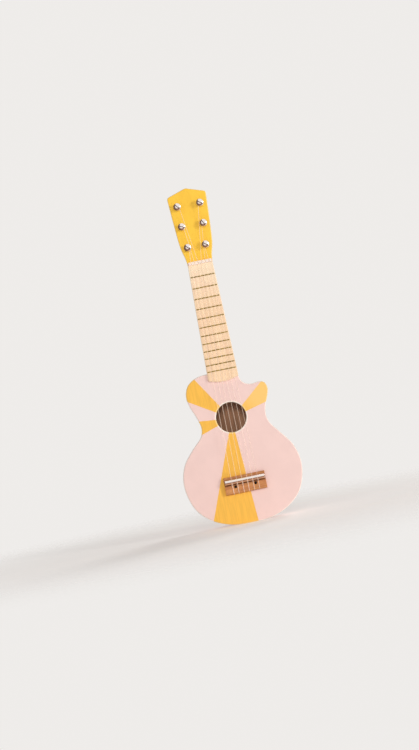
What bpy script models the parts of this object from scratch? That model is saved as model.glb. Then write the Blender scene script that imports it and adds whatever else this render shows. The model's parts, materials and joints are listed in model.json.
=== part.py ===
"""A child's six-string wooden guitar, 54 cm long, with a single cutaway.

Run it with: blender --background --python part.py

Metres, +Z up. The guitar stands upright with its front towards -Y. The origin is the bottom centre of its
box: X = 0 is the neck's centreline, Z = 0 the lowest point of the body. Depths are given as "front", the
distance in front of the soundboard's outer face, which is negative inside and behind the body.
"""

import math

import bmesh
import bpy
import numpy as np
from mathutils import Matrix, Vector

MM = 0.001

# Driving dimensions
LENGTH = 540 * MM
BODY_TOP = 243.5 * MM
BODY_DEPTH = 50 * MM
PLATE = 3 * MM
WALL = 4 * MM
GLUE_GAP = 0.3 * MM
FINE_GAP = 0.12 * MM
EDGE_ROUND = 2 * MM
HOLE_ROUND = 1.5 * MM

# Body outline as (x, z) in millimetres, clockwise from the cutaway's corner under the neck round to the
# neck's left side. It is a smooth curve through these points.
BODY_POINTS = (
    (24.3, 231.0), (27.2, 222.8), (33.4, 217.4), (43.0, 215.2), (54.5, 216.4), (62.3, 213.2), (65.6, 204.0),
    (63.2, 193.0), (57.6, 178.5), (54.9, 163.5), (58.2, 149.5), (71.0, 132.0), (88.3, 107.0), (95.0, 75.5),
    (85.0, 37.5), (64.3, 15.8), (34.0, 2.6), (0.0, 0.0), (-34.0, 2.6), (-64.3, 15.8), (-85.0, 37.5),
    (-95.0, 75.5), (-88.2, 107.0), (-69.4, 131.2), (-53.6, 147.5), (-49.8, 161.0), (-54.6, 179.5),
    (-61.8, 198.5), (-64.0, 214.5), (-58.3, 230.6), (-45.0, 240.2), (-34.0, 243.1), (-24.3, 243.5),
)
CURVE_STEPS = 4
ROUND_STEPS = 3

# Sound hole
HOLE_Z = 169.3 * MM
HOLE_RADIUS = 24 * MM

# Neck and headstock
JOIN_HALF_WIDTH = 24.3 * MM
NUT_HALF_WIDTH = 20 * MM
NUT_Z = 417.5 * MM
HEAD_THICKNESS = 13 * MM
HEAD_ROUND = 1.6 * MM
HEAD_ROUND_FROM_Z = 425 * MM
NECK_SIDES = 16
# (height up the guitar, half-width) of the headstock, in millimetres, from the nut to the peak.
HEAD_WIDTHS = (
    (417.5, 20.0), (423.0, 20.4), (430.0, 21.5), (436.0, 23.0), (442.0, 24.6), (449.0, 26.0), (460.0, 27.2),
    (495.0, 29.6), (526.0, 31.3), (529.4, 30.9), (531.2, 28.6), (539.5, 3.4), (540.0, 1.0),
)
# (height up the guitar, depth, squareness) of the neck's back, in millimetres. Squareness is the exponent of
# the cross-section: under 2 for the heel, about 2 for the round handle, 8 for the flat headstock.
NECK_BACK = (
    (243.8, 42.0, 1.7), (250.0, 41.2, 1.7), (256.0, 38.6, 1.7), (262.0, 32.5, 1.8), (268.0, 25.5, 1.9),
    (276.0, 20.2, 2.0), (286.0, 17.3, 2.2), (300.0, 16.0, 2.3), (405.0, 14.2, 2.3), (424.0, 13.4, 3.5),
    (436.0, 13.0, 8.0), (540.0, 13.0, 8.0),
)

# Fingerboard, frets and nut
BOARD_THICKNESS = 3.5 * MM
BOARD_CORNER_Z = 232 * MM
BOARD_END_Z = 227.5 * MM
BOARD_END_STEPS = 8
BOARD_ROUND = 1.2 * MM
FRET_COUNT = 12
FRET_SCALE = 343.4 * MM
FRET_INSET = 1.2 * MM
FRET_CROWN = (1.7 * MM, 0.9 * MM)
FRET_TANG = (0.5 * MM, 1.6 * MM)
NUT_LENGTH = 5 * MM
NUT_WIDTH = 37 * MM
NUT_TOP = 6.2 * MM
NUT_SLOT_FLOOR = 5.0 * MM
NUT_SLOT_WIDTH = 1.1 * MM

# Bridge
BRIDGE_X = 1.1 * MM
BRIDGE_WIDTH = 66 * MM
BRIDGE_BOTTOM_Z = 49.2 * MM
BRIDGE_TOP_Z = 76.8 * MM
DECK_TOP = 6 * MM
LEDGE_TOP = 7 * MM
ROD_Z = 68.7 * MM
ROD_FRONT = 6.9 * MM
ROD_RADIUS = 3.9 * MM
ROD_LENGTH = 63.5 * MM
ROD_EASE = 0.5 * MM
BRIDGE_EASE = 1 * MM
CHANNEL_LOW_Z = 62.9 * MM
CHANNEL_HIGH_Z = 65.6 * MM
CHANNEL_FLOOR = 2.4 * MM
TIE_HOLE_FRONT = 3.6 * MM
TIE_HOLE_RADIUS = 0.8 * MM
TIE_END_Z = 61.5 * MM
SCREW_X = 16.2 * MM
SCREW_Z = 60.2 * MM
SCREW_RADIUS = 1.5 * MM
SCREW_HEAD_RADIUS = 2.1 * MM
SCREW_HEAD_HEIGHT = 1.6 * MM
SCREW_SEAT = 3.4 * MM
SCREW_TIP = -8.5 * MM

# Strings, numbered 1 (thin, right) to 6 (thick, left)
STRING_RADII = tuple(r * MM for r in (0.30, 0.33, 0.36, 0.37, 0.39, 0.42))
NUT_SPACING = 5.8 * MM
BRIDGE_SPACING = 8.3 * MM
WINDING_STEPS = 10
WINDING_POINTS = 13

# Tuners, in the strings' order: (x, z) of the post, the degrees it is turned, and its winding's highest front
TUNER_PLACES = tuple(
    (x * MM, z * MM)
    for x, z in ((14.4, 446.1), (17.7, 480.2), (18.6, 512.8), (-18, 512.8), (-17.2, 480.2), (-14.4, 446.1))
)
TUNER_TURNS = (38, 64, 35, 50, 18, 42)
WINDING_FRONTS = tuple(f * MM for f in (4.7, 6.3, 5.8, 5.8, 6.3, 4.7))
WINDING_GAP = 0.06 * MM
# The outline of the post's head as (radius, front): a domed cap, a waist for the winding and a collar.
POST_HEAD = tuple(
    (radius * MM, front * MM)
    for radius, front in (
        (0, 9.8), (3.8, 9.8), (5.2, 9.3), (6.0, 8.4), (5.8, 7.6), (2.7, 7.2), (2.3, 6.8), (2.3, 2.6),
        (3.6, 2.2), (3.6, 1.5),
    )
)
CAP_TOP = max(front for _, front in POST_HEAD)
CAP_RADIUS = max(radius for radius, _ in POST_HEAD)
CAP_SLOT_WIDTH = 1.2 * MM
CAP_SLOT_DEPTH = 0.9 * MM
WAIST_RADIUS = 2.3 * MM
STRING_HOLE_RADIUS = 0.55 * MM
STRING_HOLE_FRONT = 3.4 * MM
POST_RADIUS = 2.5 * MM
POST_TOP = 1.5 * MM
POST_END = -HEAD_THICKNESS - 0.3 * MM
TANG_RADIUS = 2.0 * MM
TANG_END = -HEAD_THICKNESS - 8 * MM
TANG_BORE_END = -HEAD_THICKNESS - 1 * MM
TURNING_GAP = 0.12 * MM
SLEEVE_RADIUS = 3.3 * MM
SLEEVE_END = -6 * MM
BUSHING_RADIUS = 4.8 * MM
BUSHING_TOP = 1.2 * MM
KNOB_NEAR = -HEAD_THICKNESS - 0.8 * MM
KNOB_FAR = -HEAD_THICKNESS - 11.5 * MM
KNOB_EASE = 1 * MM
HUB_RADIUS = 4.3 * MM
WING_MIDDLE = -HEAD_THICKNESS - 6.3 * MM
WING_HALF_HEIGHT = 5 * MM
WING_HALF_LENGTH = 10 * MM
WING_THICKNESS = 3.4 * MM
WING_SIDES = 20
TUNER_SCREW_RADIUS = 1.0 * MM
TUNER_SCREW_LENGTH = 9 * MM
TUNER_SCREW_HEAD = (2.6 * MM, 0.8 * MM)

# Inside the body
BLOCK_BOTTOM_Z = 214 * MM
BLOCK_HALF_WIDTH = 19 * MM
TAIL_BLOCK_HALF_WIDTH = 22 * MM
TAIL_BLOCK_TOP_Z = 18 * MM
# (name, height up the guitar, half-length) of each brace
BRACES = (("upper_brace", 204 * MM, 54 * MM), ("lower_brace", 128 * MM, 58 * MM))
BRACE_WIDTH = 6 * MM
BRACE_HEIGHT = 8 * MM
BRACE_TAPER = 14 * MM
BRIDGE_PLATE_HALF_WIDTH = 40 * MM
BRIDGE_PLATE_THICKNESS = 2.5 * MM
NECK_SCREW_RADIUS = 2.0 * MM
NECK_SCREW_HEAD_RADIUS = 4.0 * MM
NECK_SCREW_HEAD_HEIGHT = 2.4 * MM
NECK_SCREW_FRONTS = {"upper": -10 * MM, "lower": -27 * MM}
NECK_SCREW_TIP_Z = 258 * MM

# The string on the saddle rod reaches furthest forward, and half the whole depth puts Y = 0 in the middle.
FRONT_REACH = ROD_FRONT + ROD_RADIUS + FINE_GAP + 2 * max(STRING_RADII)
FACE_Y = (FRONT_REACH - BODY_DEPTH) / 2

COLOURS = {
    "pink_paint": ((0.905, 0.645, 0.590), 0.5, 0.0),
    "bare_wood": ((0.87, 0.62, 0.40), 0.6, 0.0),
    "yellow_paint": ((0.97, 0.55, 0.09), 0.45, 0.0),
    "inner_wood": ((0.55, 0.36, 0.20), 0.8, 0.0),
    "bridge_wood": ((0.55, 0.27, 0.14), 0.5, 0.0),
    "nut_plastic": ((0.90, 0.80, 0.76), 0.4, 0.0),
    "fret_brass": ((0.45, 0.33, 0.12), 0.35, 1.0),
    "nylon": ((0.80, 0.74, 0.65), 0.3, 0.0),
    "steel": ((0.75, 0.72, 0.70), 0.2, 1.0),
    "black_steel": ((0.03, 0.03, 0.03), 0.4, 1.0),
}


def material_named(name):
    if name in bpy.data.materials:
        return bpy.data.materials[name]
    colour, roughness, metallic = COLOURS[name]
    material = bpy.data.materials.new(name)
    material.use_nodes = True
    shader = material.node_tree.nodes["Principled BSDF"]
    shader.inputs["Base Color"].default_value = (*colour, 1)
    shader.inputs["Roughness"].default_value = roughness
    shader.inputs["Metallic"].default_value = metallic
    material.diffuse_color = (*colour, 1)
    return material


# Building blocks


def at(x, front, z):
    return Vector((x, FACE_Y - front, z))


def mesh_from(bm, name):
    bmesh.ops.recalc_face_normals(bm, faces=bm.faces)
    mesh = bpy.data.meshes.new(name)
    bm.to_mesh(mesh)
    bm.free()
    mesh.shade_smooth()
    mesh.set_sharp_from_angle(angle=math.radians(35))
    return mesh


def place(name, mesh, material, location=(0, 0, 0), parent=None):
    """Puts a mesh in the scene as one named piece. Its location is in its parent's frame."""
    obj = bpy.data.objects.new(name, mesh)
    obj.location = location
    obj.parent = parent
    bpy.context.scene.collection.objects.link(obj)
    if not obj.data.materials:
        obj.data.materials.append(material_named(material))
    return obj


def cutter(name, mesh, location=(0, 0, 0)):
    obj = bpy.data.objects.new(name, mesh)
    obj.location = location
    obj.hide_render = True
    obj.display_type = "WIRE"
    bpy.context.scene.collection.objects.link(obj)
    return obj


def cut(obj, *tools, operation="DIFFERENCE"):
    for tool in tools:
        modifier = obj.modifiers.new(tool.name, "BOOLEAN")
        modifier.object = tool
        modifier.operation = operation


def baked(name, obj):
    """The mesh of an object with its modifiers in it. The object and its cutters are removed."""
    tools = [m.object for m in obj.modifiers if m.type == "BOOLEAN"]
    bpy.context.view_layer.update()
    graph = bpy.context.evaluated_depsgraph_get()
    mesh = bpy.data.meshes.new_from_object(obj.evaluated_get(graph))
    mesh.name = name
    for used in [obj, *tools]:
        bpy.data.objects.remove(used)
    return mesh


def prism_mesh(name, corners, depth, rounded=0, rounded_below=LENGTH):
    """A solid from a closed outline of 3-D corners, pushed along the vector depth.

    Its first face's edges can be rounded, where they reach below a given height.
    """
    bm = bmesh.new()
    face = bm.faces.new([bm.verts.new(c) for c in corners])
    pushed = bmesh.ops.extrude_face_region(bm, geom=[face])["geom"]
    bmesh.ops.translate(bm, vec=depth, verts=[g for g in pushed if isinstance(g, bmesh.types.BMVert)])
    bmesh.ops.recalc_face_normals(bm, faces=bm.faces)
    if rounded:
        first = [e for e in face.edges if min(v.co.z for v in e.verts) < rounded_below]
        bmesh.ops.bevel(bm, geom=first, offset=rounded, segments=ROUND_STEPS, profile=0.5, affect="EDGES")
    return mesh_from(bm, name)


def slab_mesh(name, outline, front, back, rounded=0, rounded_below=LENGTH):
    """A board whose outline is (x, z) points, between two distances in front of the soundboard's face."""
    corners = [at(x, front, z) for x, z in outline]
    return prism_mesh(name, corners, Vector((0, front - back, 0)), rounded, rounded_below)


def block_mesh(name, low, high):
    """A box between two corners, each (x, front, z)."""
    (x0, f0, z0), (x1, f1, z1) = low, high
    return slab_mesh(name, ((x0, z0), (x1, z0), (x1, z1), (x0, z1)), max(f0, f1), min(f0, f1))


def turned_mesh(name, profile, segments=16, axis="Y"):
    """A turned solid about its own Y axis, from (radius, front) points: closed on the axis, or a closed ring."""
    bm = bmesh.new()
    line = [bm.verts.new((radius, -front, 0)) for radius, front in profile]
    edges = [bm.edges.new(pair) for pair in zip(line, line[1:])]
    if profile[0][0] > 0:
        edges.append(bm.edges.new((line[-1], line[0])))
    bmesh.ops.spin(
        bm, geom=[*line, *edges], cent=(0, 0, 0), axis=(0, 1, 0), angle=2 * math.pi, steps=segments, use_merge=True
    )
    bmesh.ops.remove_doubles(bm, verts=bm.verts, dist=1e-6)
    if axis != "Y":
        turn = {"X": Matrix.Rotation(math.pi / 2, 3, "Z"), "Z": Matrix.Rotation(-math.pi / 2, 3, "X")}[axis]
        bmesh.ops.rotate(bm, cent=(0, 0, 0), matrix=turn, verts=bm.verts)
    return mesh_from(bm, name)


def rod_mesh(name, radius, start, end, segments=16, axis="Y"):
    """A plain cylinder between two distances along its axis."""
    return turned_mesh(name, ((0, end), (radius, end), (radius, start), (0, start)), segments, axis)


def joined_mesh(name, meshes_at):
    """One mesh from (mesh, offset) pairs, for a cutter made of several separate shapes."""
    bm = bmesh.new()
    for mesh, offset in meshes_at:
        copy = mesh.copy()
        copy.transform(Matrix.Translation(offset))
        bm.from_mesh(copy)
        bpy.data.meshes.remove(copy)
    return mesh_from(bm, name)


def smooth_curve(points, steps):
    """Points of a centripetal Catmull-Rom curve through the given points, both ends included."""
    points = [np.array(p, float) for p in points]
    points = [2 * points[0] - points[1], *points, 2 * points[-1] - points[-2]]
    found = []
    for a, b, c, d in zip(points, points[1:], points[2:], points[3:]):
        knots = [0.0]
        for start, end in ((a, b), (b, c), (c, d)):
            knots.append(knots[-1] + math.sqrt(np.linalg.norm(end - start)))
        ta, tb, tc, td = knots
        for t in np.linspace(tb, tc, steps, endpoint=False):
            ab = (tb - t) / (tb - ta) * a + (t - ta) / (tb - ta) * b
            bc = (tc - t) / (tc - tb) * b + (t - tb) / (tc - tb) * c
            cd = (td - t) / (td - tc) * c + (t - tc) / (td - tc) * d
            abc = (tc - t) / (tc - ta) * ab + (t - ta) / (tc - ta) * bc
            bcd = (td - t) / (td - tb) * bc + (t - tb) / (td - tb) * cd
            found.append((tc - t) / (tc - tb) * abc + (t - tb) / (tc - tb) * bcd)
    found.append(points[-2])
    return found


def body_outline():
    """The body's closed outline in metres, with the short straight side beside the neck."""
    curve = [(x * MM, z * MM) for x, z in smooth_curve(BODY_POINTS, CURVE_STEPS)]
    return [(JOIN_HALF_WIDTH, BODY_TOP), *curve]


# Body


def build_plates(outline):
    front = place("soundboard", slab_mesh("soundboard", outline, 0, -PLATE, EDGE_ROUND), "pink_paint")
    # The hole's front edge is rounded over.
    mouth = [
        (HOLE_RADIUS + HOLE_ROUND * (1 - math.cos(a)), HOLE_ROUND * (math.sin(a) - 1))
        for a in np.linspace(math.pi / 2, 0, ROUND_STEPS + 1)
    ]
    hole_profile = [(0, PLATE), (mouth[0][0], PLATE), *mouth, (HOLE_RADIUS, -2 * PLATE), (0, -2 * PLATE)]
    hole = turned_mesh("sound_hole", hole_profile, 64)
    cut(front, cutter("sound_hole_cutter", hole, (0, FACE_Y, HOLE_Z)))
    cut(front, screw_hole_cutter("soundboard_screw_holes", -2 * PLATE, 2 * PLATE))
    back_corners = [at(x, -BODY_DEPTH, z) for x, z in outline]
    place("back_panel", prism_mesh("back_panel", back_corners, Vector((0, -PLATE, 0)), EDGE_ROUND), "pink_paint")


def screw_hole_cutter(name, start, end):
    hole = rod_mesh(name, SCREW_RADIUS + GLUE_GAP, start, end, 12)
    sides = [(hole, at(BRIDGE_X + side * SCREW_X, 0, SCREW_Z)) for side in (-1, 1)]
    return cutter(name, joined_mesh(name, sides))


def neck_screw_cutter(name, start_z, end_z):
    hole = rod_mesh(name, NECK_SCREW_RADIUS + GLUE_GAP, start_z, end_z, axis="Z")
    return cutter(name, joined_mesh(name, [(hole, at(0, f, 0)) for f in NECK_SCREW_FRONTS.values()]))


def build_rim(outline):
    """The bent side: a strip along the outline, thickened inwards."""
    bm = bmesh.new()
    front, back = -PLATE - GLUE_GAP, -BODY_DEPTH + PLATE + GLUE_GAP
    rows = [[bm.verts.new(at(x, f, z)) for x, z in outline] for f in (front, back)]
    count = len(outline)
    for i in range(count):
        j = (i + 1) % count
        bm.faces.new((rows[0][i], rows[0][j], rows[1][j], rows[1][i]))
    bmesh.ops.recalc_face_normals(bm, faces=bm.faces)
    mesh = bpy.data.meshes.new("side_rim")
    bm.to_mesh(mesh)
    bm.free()
    rim = place("side_rim", mesh, "bare_wood")
    wall = rim.modifiers.new("wall", "SOLIDIFY")
    wall.thickness = WALL
    wall.offset = -1
    wall.use_even_offset = True
    cut(rim, neck_screw_cutter("rim_screw_holes", BODY_TOP - 3 * WALL, BODY_TOP + WALL))


def build_blocks(outline):
    front, back = -PLATE - GLUE_GAP, -BODY_DEPTH + PLATE + GLUE_GAP
    top = BODY_TOP - WALL - GLUE_GAP
    low, high = (-BLOCK_HALF_WIDTH, front, BLOCK_BOTTOM_Z), (BLOCK_HALF_WIDTH, back, top)
    block = place("neck_block", block_mesh("neck_block", low, high), "inner_wood")
    cut(block, neck_screw_cutter("block_screw_holes", BLOCK_BOTTOM_Z - WALL, BODY_TOP))
    # The tail block's underside follows the inside of the wall.
    base = sorted((x, z) for x, z in outline if abs(x) < 3 * TAIL_BLOCK_HALF_WIDTH and z < TAIL_BLOCK_TOP_Z)
    xs = np.linspace(-TAIL_BLOCK_HALF_WIDTH, TAIL_BLOCK_HALF_WIDTH, 9)
    zs = np.interp(xs, [x for x, _ in base], [z for _, z in base]) + WALL + 2 * GLUE_GAP
    shape = [*zip(xs, zs), (TAIL_BLOCK_HALF_WIDTH, TAIL_BLOCK_TOP_Z), (-TAIL_BLOCK_HALF_WIDTH, TAIL_BLOCK_TOP_Z)]
    place("tail_block", slab_mesh("tail_block", shape, front, back), "inner_wood")


def build_braces():
    top = -PLATE - GLUE_GAP
    for name, z, half_length in BRACES:
        inner = half_length - BRACE_TAPER
        shape = (
            (-half_length, top), (-half_length, top - BRACE_HEIGHT / 3), (-inner, top - BRACE_HEIGHT),
            (inner, top - BRACE_HEIGHT), (half_length, top - BRACE_HEIGHT / 3), (half_length, top),
        )
        corners = [at(x, f, z - BRACE_WIDTH / 2) for x, f in shape]
        place(name, prism_mesh(name, corners, Vector((0, 0, BRACE_WIDTH))), "inner_wood")
    low = (-BRIDGE_PLATE_HALF_WIDTH, top, BRIDGE_BOTTOM_Z - 2 * MM)
    high = (BRIDGE_PLATE_HALF_WIDTH, top - BRIDGE_PLATE_THICKNESS, BRIDGE_TOP_Z + 4 * MM)
    plate = place("bridge_plate", block_mesh("bridge_plate", low, high), "inner_wood")
    cut(plate, screw_hole_cutter("plate_screw_holes", -4 * PLATE, 0))


# Neck


def neck_half_width(z):
    heights = [BODY_TOP, *[h * MM for h, _ in HEAD_WIDTHS]]
    return float(np.interp(z, heights, [JOIN_HALF_WIDTH, *[w * MM for _, w in HEAD_WIDTHS]]))


def neck_section(z):
    """One cross-section of the neck: a flat front with a superellipse behind it."""
    heights = [h * MM for h, _, _ in NECK_BACK]
    depth = float(np.interp(z, heights, [d * MM for _, d, _ in NECK_BACK]))
    power = 2 / float(np.interp(z, heights, [s for _, _, s in NECK_BACK]))
    half_width = neck_half_width(z)
    section = []
    for i in range(NECK_SIDES + 1):
        angle = math.pi * i / NECK_SIDES
        across, behind = math.cos(angle), math.sin(angle)
        x = -half_width * math.copysign(abs(across) ** power, across)
        section.append(at(x, -depth * max(behind, 0) ** power, z))
    return section


def build_neck():
    """Neck, heel and headstock in one board, as a loft up the guitar."""
    heights = sorted({h * MM for h, _ in HEAD_WIDTHS} | {h * MM for h, _, _ in NECK_BACK})
    bm = bmesh.new()
    rows = [[bm.verts.new(p) for p in neck_section(z)] for z in heights]
    count = NECK_SIDES + 1
    for low, high in zip(rows, rows[1:]):
        for i in range(count):
            j = (i + 1) % count
            bm.faces.new((low[i], low[j], high[j], high[i]))
    bm.faces.new(rows[0])
    bm.faces.new(rows[-1])
    bmesh.ops.recalc_face_normals(bm, faces=bm.faces)
    front_edges = [
        e for e in bm.edges
        if all(abs(v.co.y - FACE_Y) < 1e-7 and v.co.z > HEAD_ROUND_FROM_Z for v in e.verts)
        and (abs(e.verts[0].co.z - e.verts[1].co.z) > 1e-6 or e.verts[0].co.z > LENGTH - 1e-6)
    ]
    bmesh.ops.bevel(bm, geom=front_edges, offset=HEAD_ROUND, segments=2, profile=0.5, affect="EDGES")
    neck = place("neck", mesh_from(bm, "neck"), "yellow_paint")
    hole = rod_mesh("post_hole", SLEEVE_RADIUS + GLUE_GAP, -2 * HEAD_THICKNESS, HEAD_THICKNESS)
    holes = joined_mesh("post_holes", [(hole, (x, FACE_Y, z)) for x, z in TUNER_PLACES])
    cut(neck, cutter("post_holes_cutter", holes))
    cut(neck, neck_screw_cutter("heel_screw_holes", BODY_TOP - WALL, NECK_SCREW_TIP_Z + GLUE_GAP))


def build_neck_screws():
    seat = BLOCK_BOTTOM_Z - GLUE_GAP
    head_end = seat - NECK_SCREW_HEAD_HEIGHT
    profile = (
        (0, head_end), (0.6 * NECK_SCREW_HEAD_RADIUS, head_end), (NECK_SCREW_HEAD_RADIUS, (seat + head_end) / 2),
        (NECK_SCREW_HEAD_RADIUS, seat), (NECK_SCREW_RADIUS, seat), (NECK_SCREW_RADIUS, NECK_SCREW_TIP_Z - 4 * MM),
        (0, NECK_SCREW_TIP_Z),
    )
    mesh = turned_mesh("neck_screw", profile, axis="Z")
    for which, front in NECK_SCREW_FRONTS.items():
        place(f"neck_screw_{which}", mesh, "steel", at(0, front, 0))


# Fingerboard, frets and nut


def fret_height(number):
    """Where a fret lies: each leaves the string a twelfth of an octave shorter."""
    return NUT_Z - FRET_SCALE * (1 - 2 ** (-number / 12))


def bar_mesh(name, half_length, width, bottom, top, z):
    low, high = (-half_length, bottom, z - width / 2), (half_length, top, z + width / 2)
    return block_mesh(name, low, high)


def build_fingerboard():
    bottom, top = GLUE_GAP, GLUE_GAP + BOARD_THICKNESS
    nut_face = NUT_Z - GLUE_GAP
    corner = neck_half_width(BODY_TOP)
    # The end over the soundboard is a shallow arc.
    end = []
    for i in range(BOARD_END_STEPS + 1):
        across = -1 + 2 * i / BOARD_END_STEPS
        end.append((across * corner, BOARD_END_Z + (BOARD_CORNER_Z - BOARD_END_Z) * across**2))
    nut_corner = neck_half_width(nut_face)
    outline = [*end, (corner, BODY_TOP), (nut_corner, nut_face), (-nut_corner, nut_face), (-corner, BODY_TOP)]
    mesh = slab_mesh("fingerboard", outline, top, bottom, BOARD_ROUND, nut_face - BOARD_ROUND)
    board = place("fingerboard", mesh, "bare_wood")
    slots = []
    for number in range(1, FRET_COUNT + 1):
        z = fret_height(number)
        half_length = neck_half_width(z) - FRET_INSET
        slot_width = FRET_TANG[0] + 2 * FINE_GAP
        slot_floor = top - FRET_TANG[1] - FINE_GAP
        slots.append((bar_mesh("slot", half_length, slot_width, slot_floor, 2 * top, z), (0, 0, 0)))
        build_fret(f"fret_{number:02d}", z, half_length - FINE_GAP, top)
    cut(board, cutter("fret_slots_cutter", joined_mesh("fret_slots", slots)))


def build_fret(name, z, half_length, board_top):
    """A fret wire: a round-topped crown on the board, and a tang in its slot."""
    crown_width, crown_height = FRET_CROWN
    tang_width, tang_depth = FRET_TANG
    seat = board_top + FINE_GAP
    arc = [
        (crown_width / 2 * math.cos(a), seat + crown_height * math.sin(a)) for a in np.linspace(0, math.pi, 7)
    ]
    tang = [(-tang_width / 2, seat), (-tang_width / 2, board_top - tang_depth)]
    section = [*arc, *tang, *[(-across, front) for across, front in reversed(tang)]]
    corners = [at(-half_length, front, z + across) for across, front in section]
    place(name, prism_mesh(name, corners, Vector((2 * half_length, 0, 0))), "fret_brass")


def nut_string_x(number):
    return (3.5 - number) * NUT_SPACING


def bridge_string_x(number):
    return BRIDGE_X + (3.5 - number) * BRIDGE_SPACING


def build_nut():
    half_width = NUT_WIDTH / 2
    top_line = [(-half_width, GLUE_GAP), (-half_width, NUT_TOP)]
    for number in range(6, 0, -1):
        x = nut_string_x(number)
        half_slot = NUT_SLOT_WIDTH / 2
        top_line += [
            (x - half_slot, NUT_TOP), (x - half_slot, NUT_SLOT_FLOOR),
            (x + half_slot, NUT_SLOT_FLOOR), (x + half_slot, NUT_TOP),
        ]
    outline = [*top_line, (half_width, NUT_TOP), (half_width, GLUE_GAP)]
    corners = [at(x, front, NUT_Z) for x, front in outline]
    place("nut", prism_mesh("nut", corners, Vector((0, 0, NUT_LENGTH))), "nut_plastic")


# Bridge


def build_bridge():
    """A wooden block as a section along X: tie block, channel, the rod's groove and a ledge."""
    groove_radius = ROD_RADIUS + FINE_GAP
    low_angle = math.pi + math.acos((ROD_Z - CHANNEL_HIGH_Z) / groove_radius)
    high_angle = 2 * math.pi - math.asin((ROD_FRONT - LEDGE_TOP) / groove_radius)
    groove = [
        (ROD_Z + groove_radius * math.cos(a), ROD_FRONT + groove_radius * math.sin(a))
        for a in np.linspace(low_angle, high_angle, 10)
    ]
    outline = [
        (BRIDGE_BOTTOM_Z, GLUE_GAP), (BRIDGE_BOTTOM_Z, DECK_TOP - BRIDGE_EASE),
        (BRIDGE_BOTTOM_Z + BRIDGE_EASE, DECK_TOP), (CHANNEL_LOW_Z, DECK_TOP), (CHANNEL_LOW_Z, CHANNEL_FLOOR),
        (CHANNEL_HIGH_Z, CHANNEL_FLOOR), *groove, (BRIDGE_TOP_Z - BRIDGE_EASE, LEDGE_TOP),
        (BRIDGE_TOP_Z, LEDGE_TOP - BRIDGE_EASE), (BRIDGE_TOP_Z, GLUE_GAP),
    ]
    corners = [at(BRIDGE_X - BRIDGE_WIDTH / 2, front, z) for z, front in outline]
    bridge = place("bridge", prism_mesh("bridge", corners, Vector((BRIDGE_WIDTH, 0, 0))), "bridge_wood")
    tie_hole = rod_mesh("tie_hole", TIE_HOLE_RADIUS, BRIDGE_BOTTOM_Z - MM, CHANNEL_LOW_Z + MM, 12, "Z")
    ties = [(tie_hole, at(bridge_string_x(number), TIE_HOLE_FRONT, 0)) for number in range(1, 7)]
    cut(bridge, cutter("tie_holes_cutter", joined_mesh("tie_holes", ties)))
    wide, narrow = SCREW_HEAD_RADIUS + GLUE_GAP, SCREW_RADIUS + GLUE_GAP
    bore = (
        (0, 2 * DECK_TOP), (wide, 2 * DECK_TOP), (wide, SCREW_SEAT),
        (narrow, SCREW_SEAT), (narrow, -DECK_TOP), (0, -DECK_TOP),
    )
    holes = [(turned_mesh("bore", bore), at(BRIDGE_X + side * SCREW_X, 0, SCREW_Z)) for side in (-1, 1)]
    cut(bridge, cutter("bridge_bores_cutter", joined_mesh("bridge_bores", holes)))
    half, eased = ROD_LENGTH / 2, ROD_RADIUS - ROD_EASE
    rod_profile = (
        (0, half), (eased, half), (ROD_RADIUS, half - ROD_EASE),
        (ROD_RADIUS, ROD_EASE - half), (eased, -half), (0, -half),
    )
    place("saddle_rod", turned_mesh("saddle_rod", rod_profile, 32, "X"), "steel", at(BRIDGE_X, ROD_FRONT, ROD_Z))


def build_bridge_screws():
    seat = SCREW_SEAT + GLUE_GAP
    head_top = seat + SCREW_HEAD_HEIGHT
    profile = (
        (0, head_top), (0.7 * SCREW_HEAD_RADIUS, head_top - 0.1 * MM), (SCREW_HEAD_RADIUS, head_top - 0.7 * MM),
        (SCREW_HEAD_RADIUS, seat), (SCREW_RADIUS, seat), (SCREW_RADIUS, SCREW_TIP + 2 * MM), (0, SCREW_TIP),
    )
    mesh = turned_mesh("bridge_screw", profile)
    for side, name in ((-1, "bridge_screw_left"), (1, "bridge_screw_right")):
        place(name, mesh, "black_steel", at(BRIDGE_X + side * SCREW_X, 0, SCREW_Z))


# Tuners


def build_tuners():
    post_mesh = tuner_post_mesh()
    knob_mesh = tuner_knob_mesh()
    screw_mesh = tuner_screw_mesh()
    bushing_mesh = tuner_bushing_mesh()
    for number, ((x, z), turn) in enumerate(zip(TUNER_PLACES, TUNER_TURNS), 1):
        axis = bpy.data.objects.new(f"tuner_{number}_axis", None)
        axis.location = (x, FACE_Y, z)
        axis.rotation_euler.y = math.radians(turn)
        bpy.context.scene.collection.objects.link(axis)
        place(f"tuner_post_{number}", post_mesh, "steel", parent=axis)
        place(f"tuner_knob_{number}", knob_mesh, "steel", parent=axis)
        place(f"tuner_screw_{number}", screw_mesh, "steel", parent=axis)
        place(f"tuner_bushing_{number}", bushing_mesh, "steel", (x, FACE_Y, z))


def tuner_post_mesh():
    """The turned post: slotted cap, narrow waist for the winding, collar, shaft and a tang for the knob."""
    screw_bore = TUNER_SCREW_RADIUS + GLUE_GAP
    profile = (
        *POST_HEAD, (POST_RADIUS, POST_TOP), (POST_RADIUS, POST_END), (TANG_RADIUS, POST_END),
        (TANG_RADIUS, TANG_END), (screw_bore, TANG_END), (screw_bore, TANG_BORE_END), (0, TANG_BORE_END),
    )
    post = place("post_blank", turned_mesh("post_blank", profile), "steel")
    slot_size = (3 * CAP_RADIUS, 2 * CAP_SLOT_DEPTH, CAP_SLOT_WIDTH)
    slot = box_mesh("cap_slot", slot_size, (0, -CAP_TOP, 0))
    hole = rod_mesh("string_hole", STRING_HOLE_RADIUS, -2 * WAIST_RADIUS, 2 * WAIST_RADIUS, 8, "X")
    string_hole = cutter("string_hole_cutter", hole, (0, -STRING_HOLE_FRONT, 0))
    cut(post, cutter("cap_slot_cutter", slot), string_hole)
    return baked("tuner_post", post)


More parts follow.
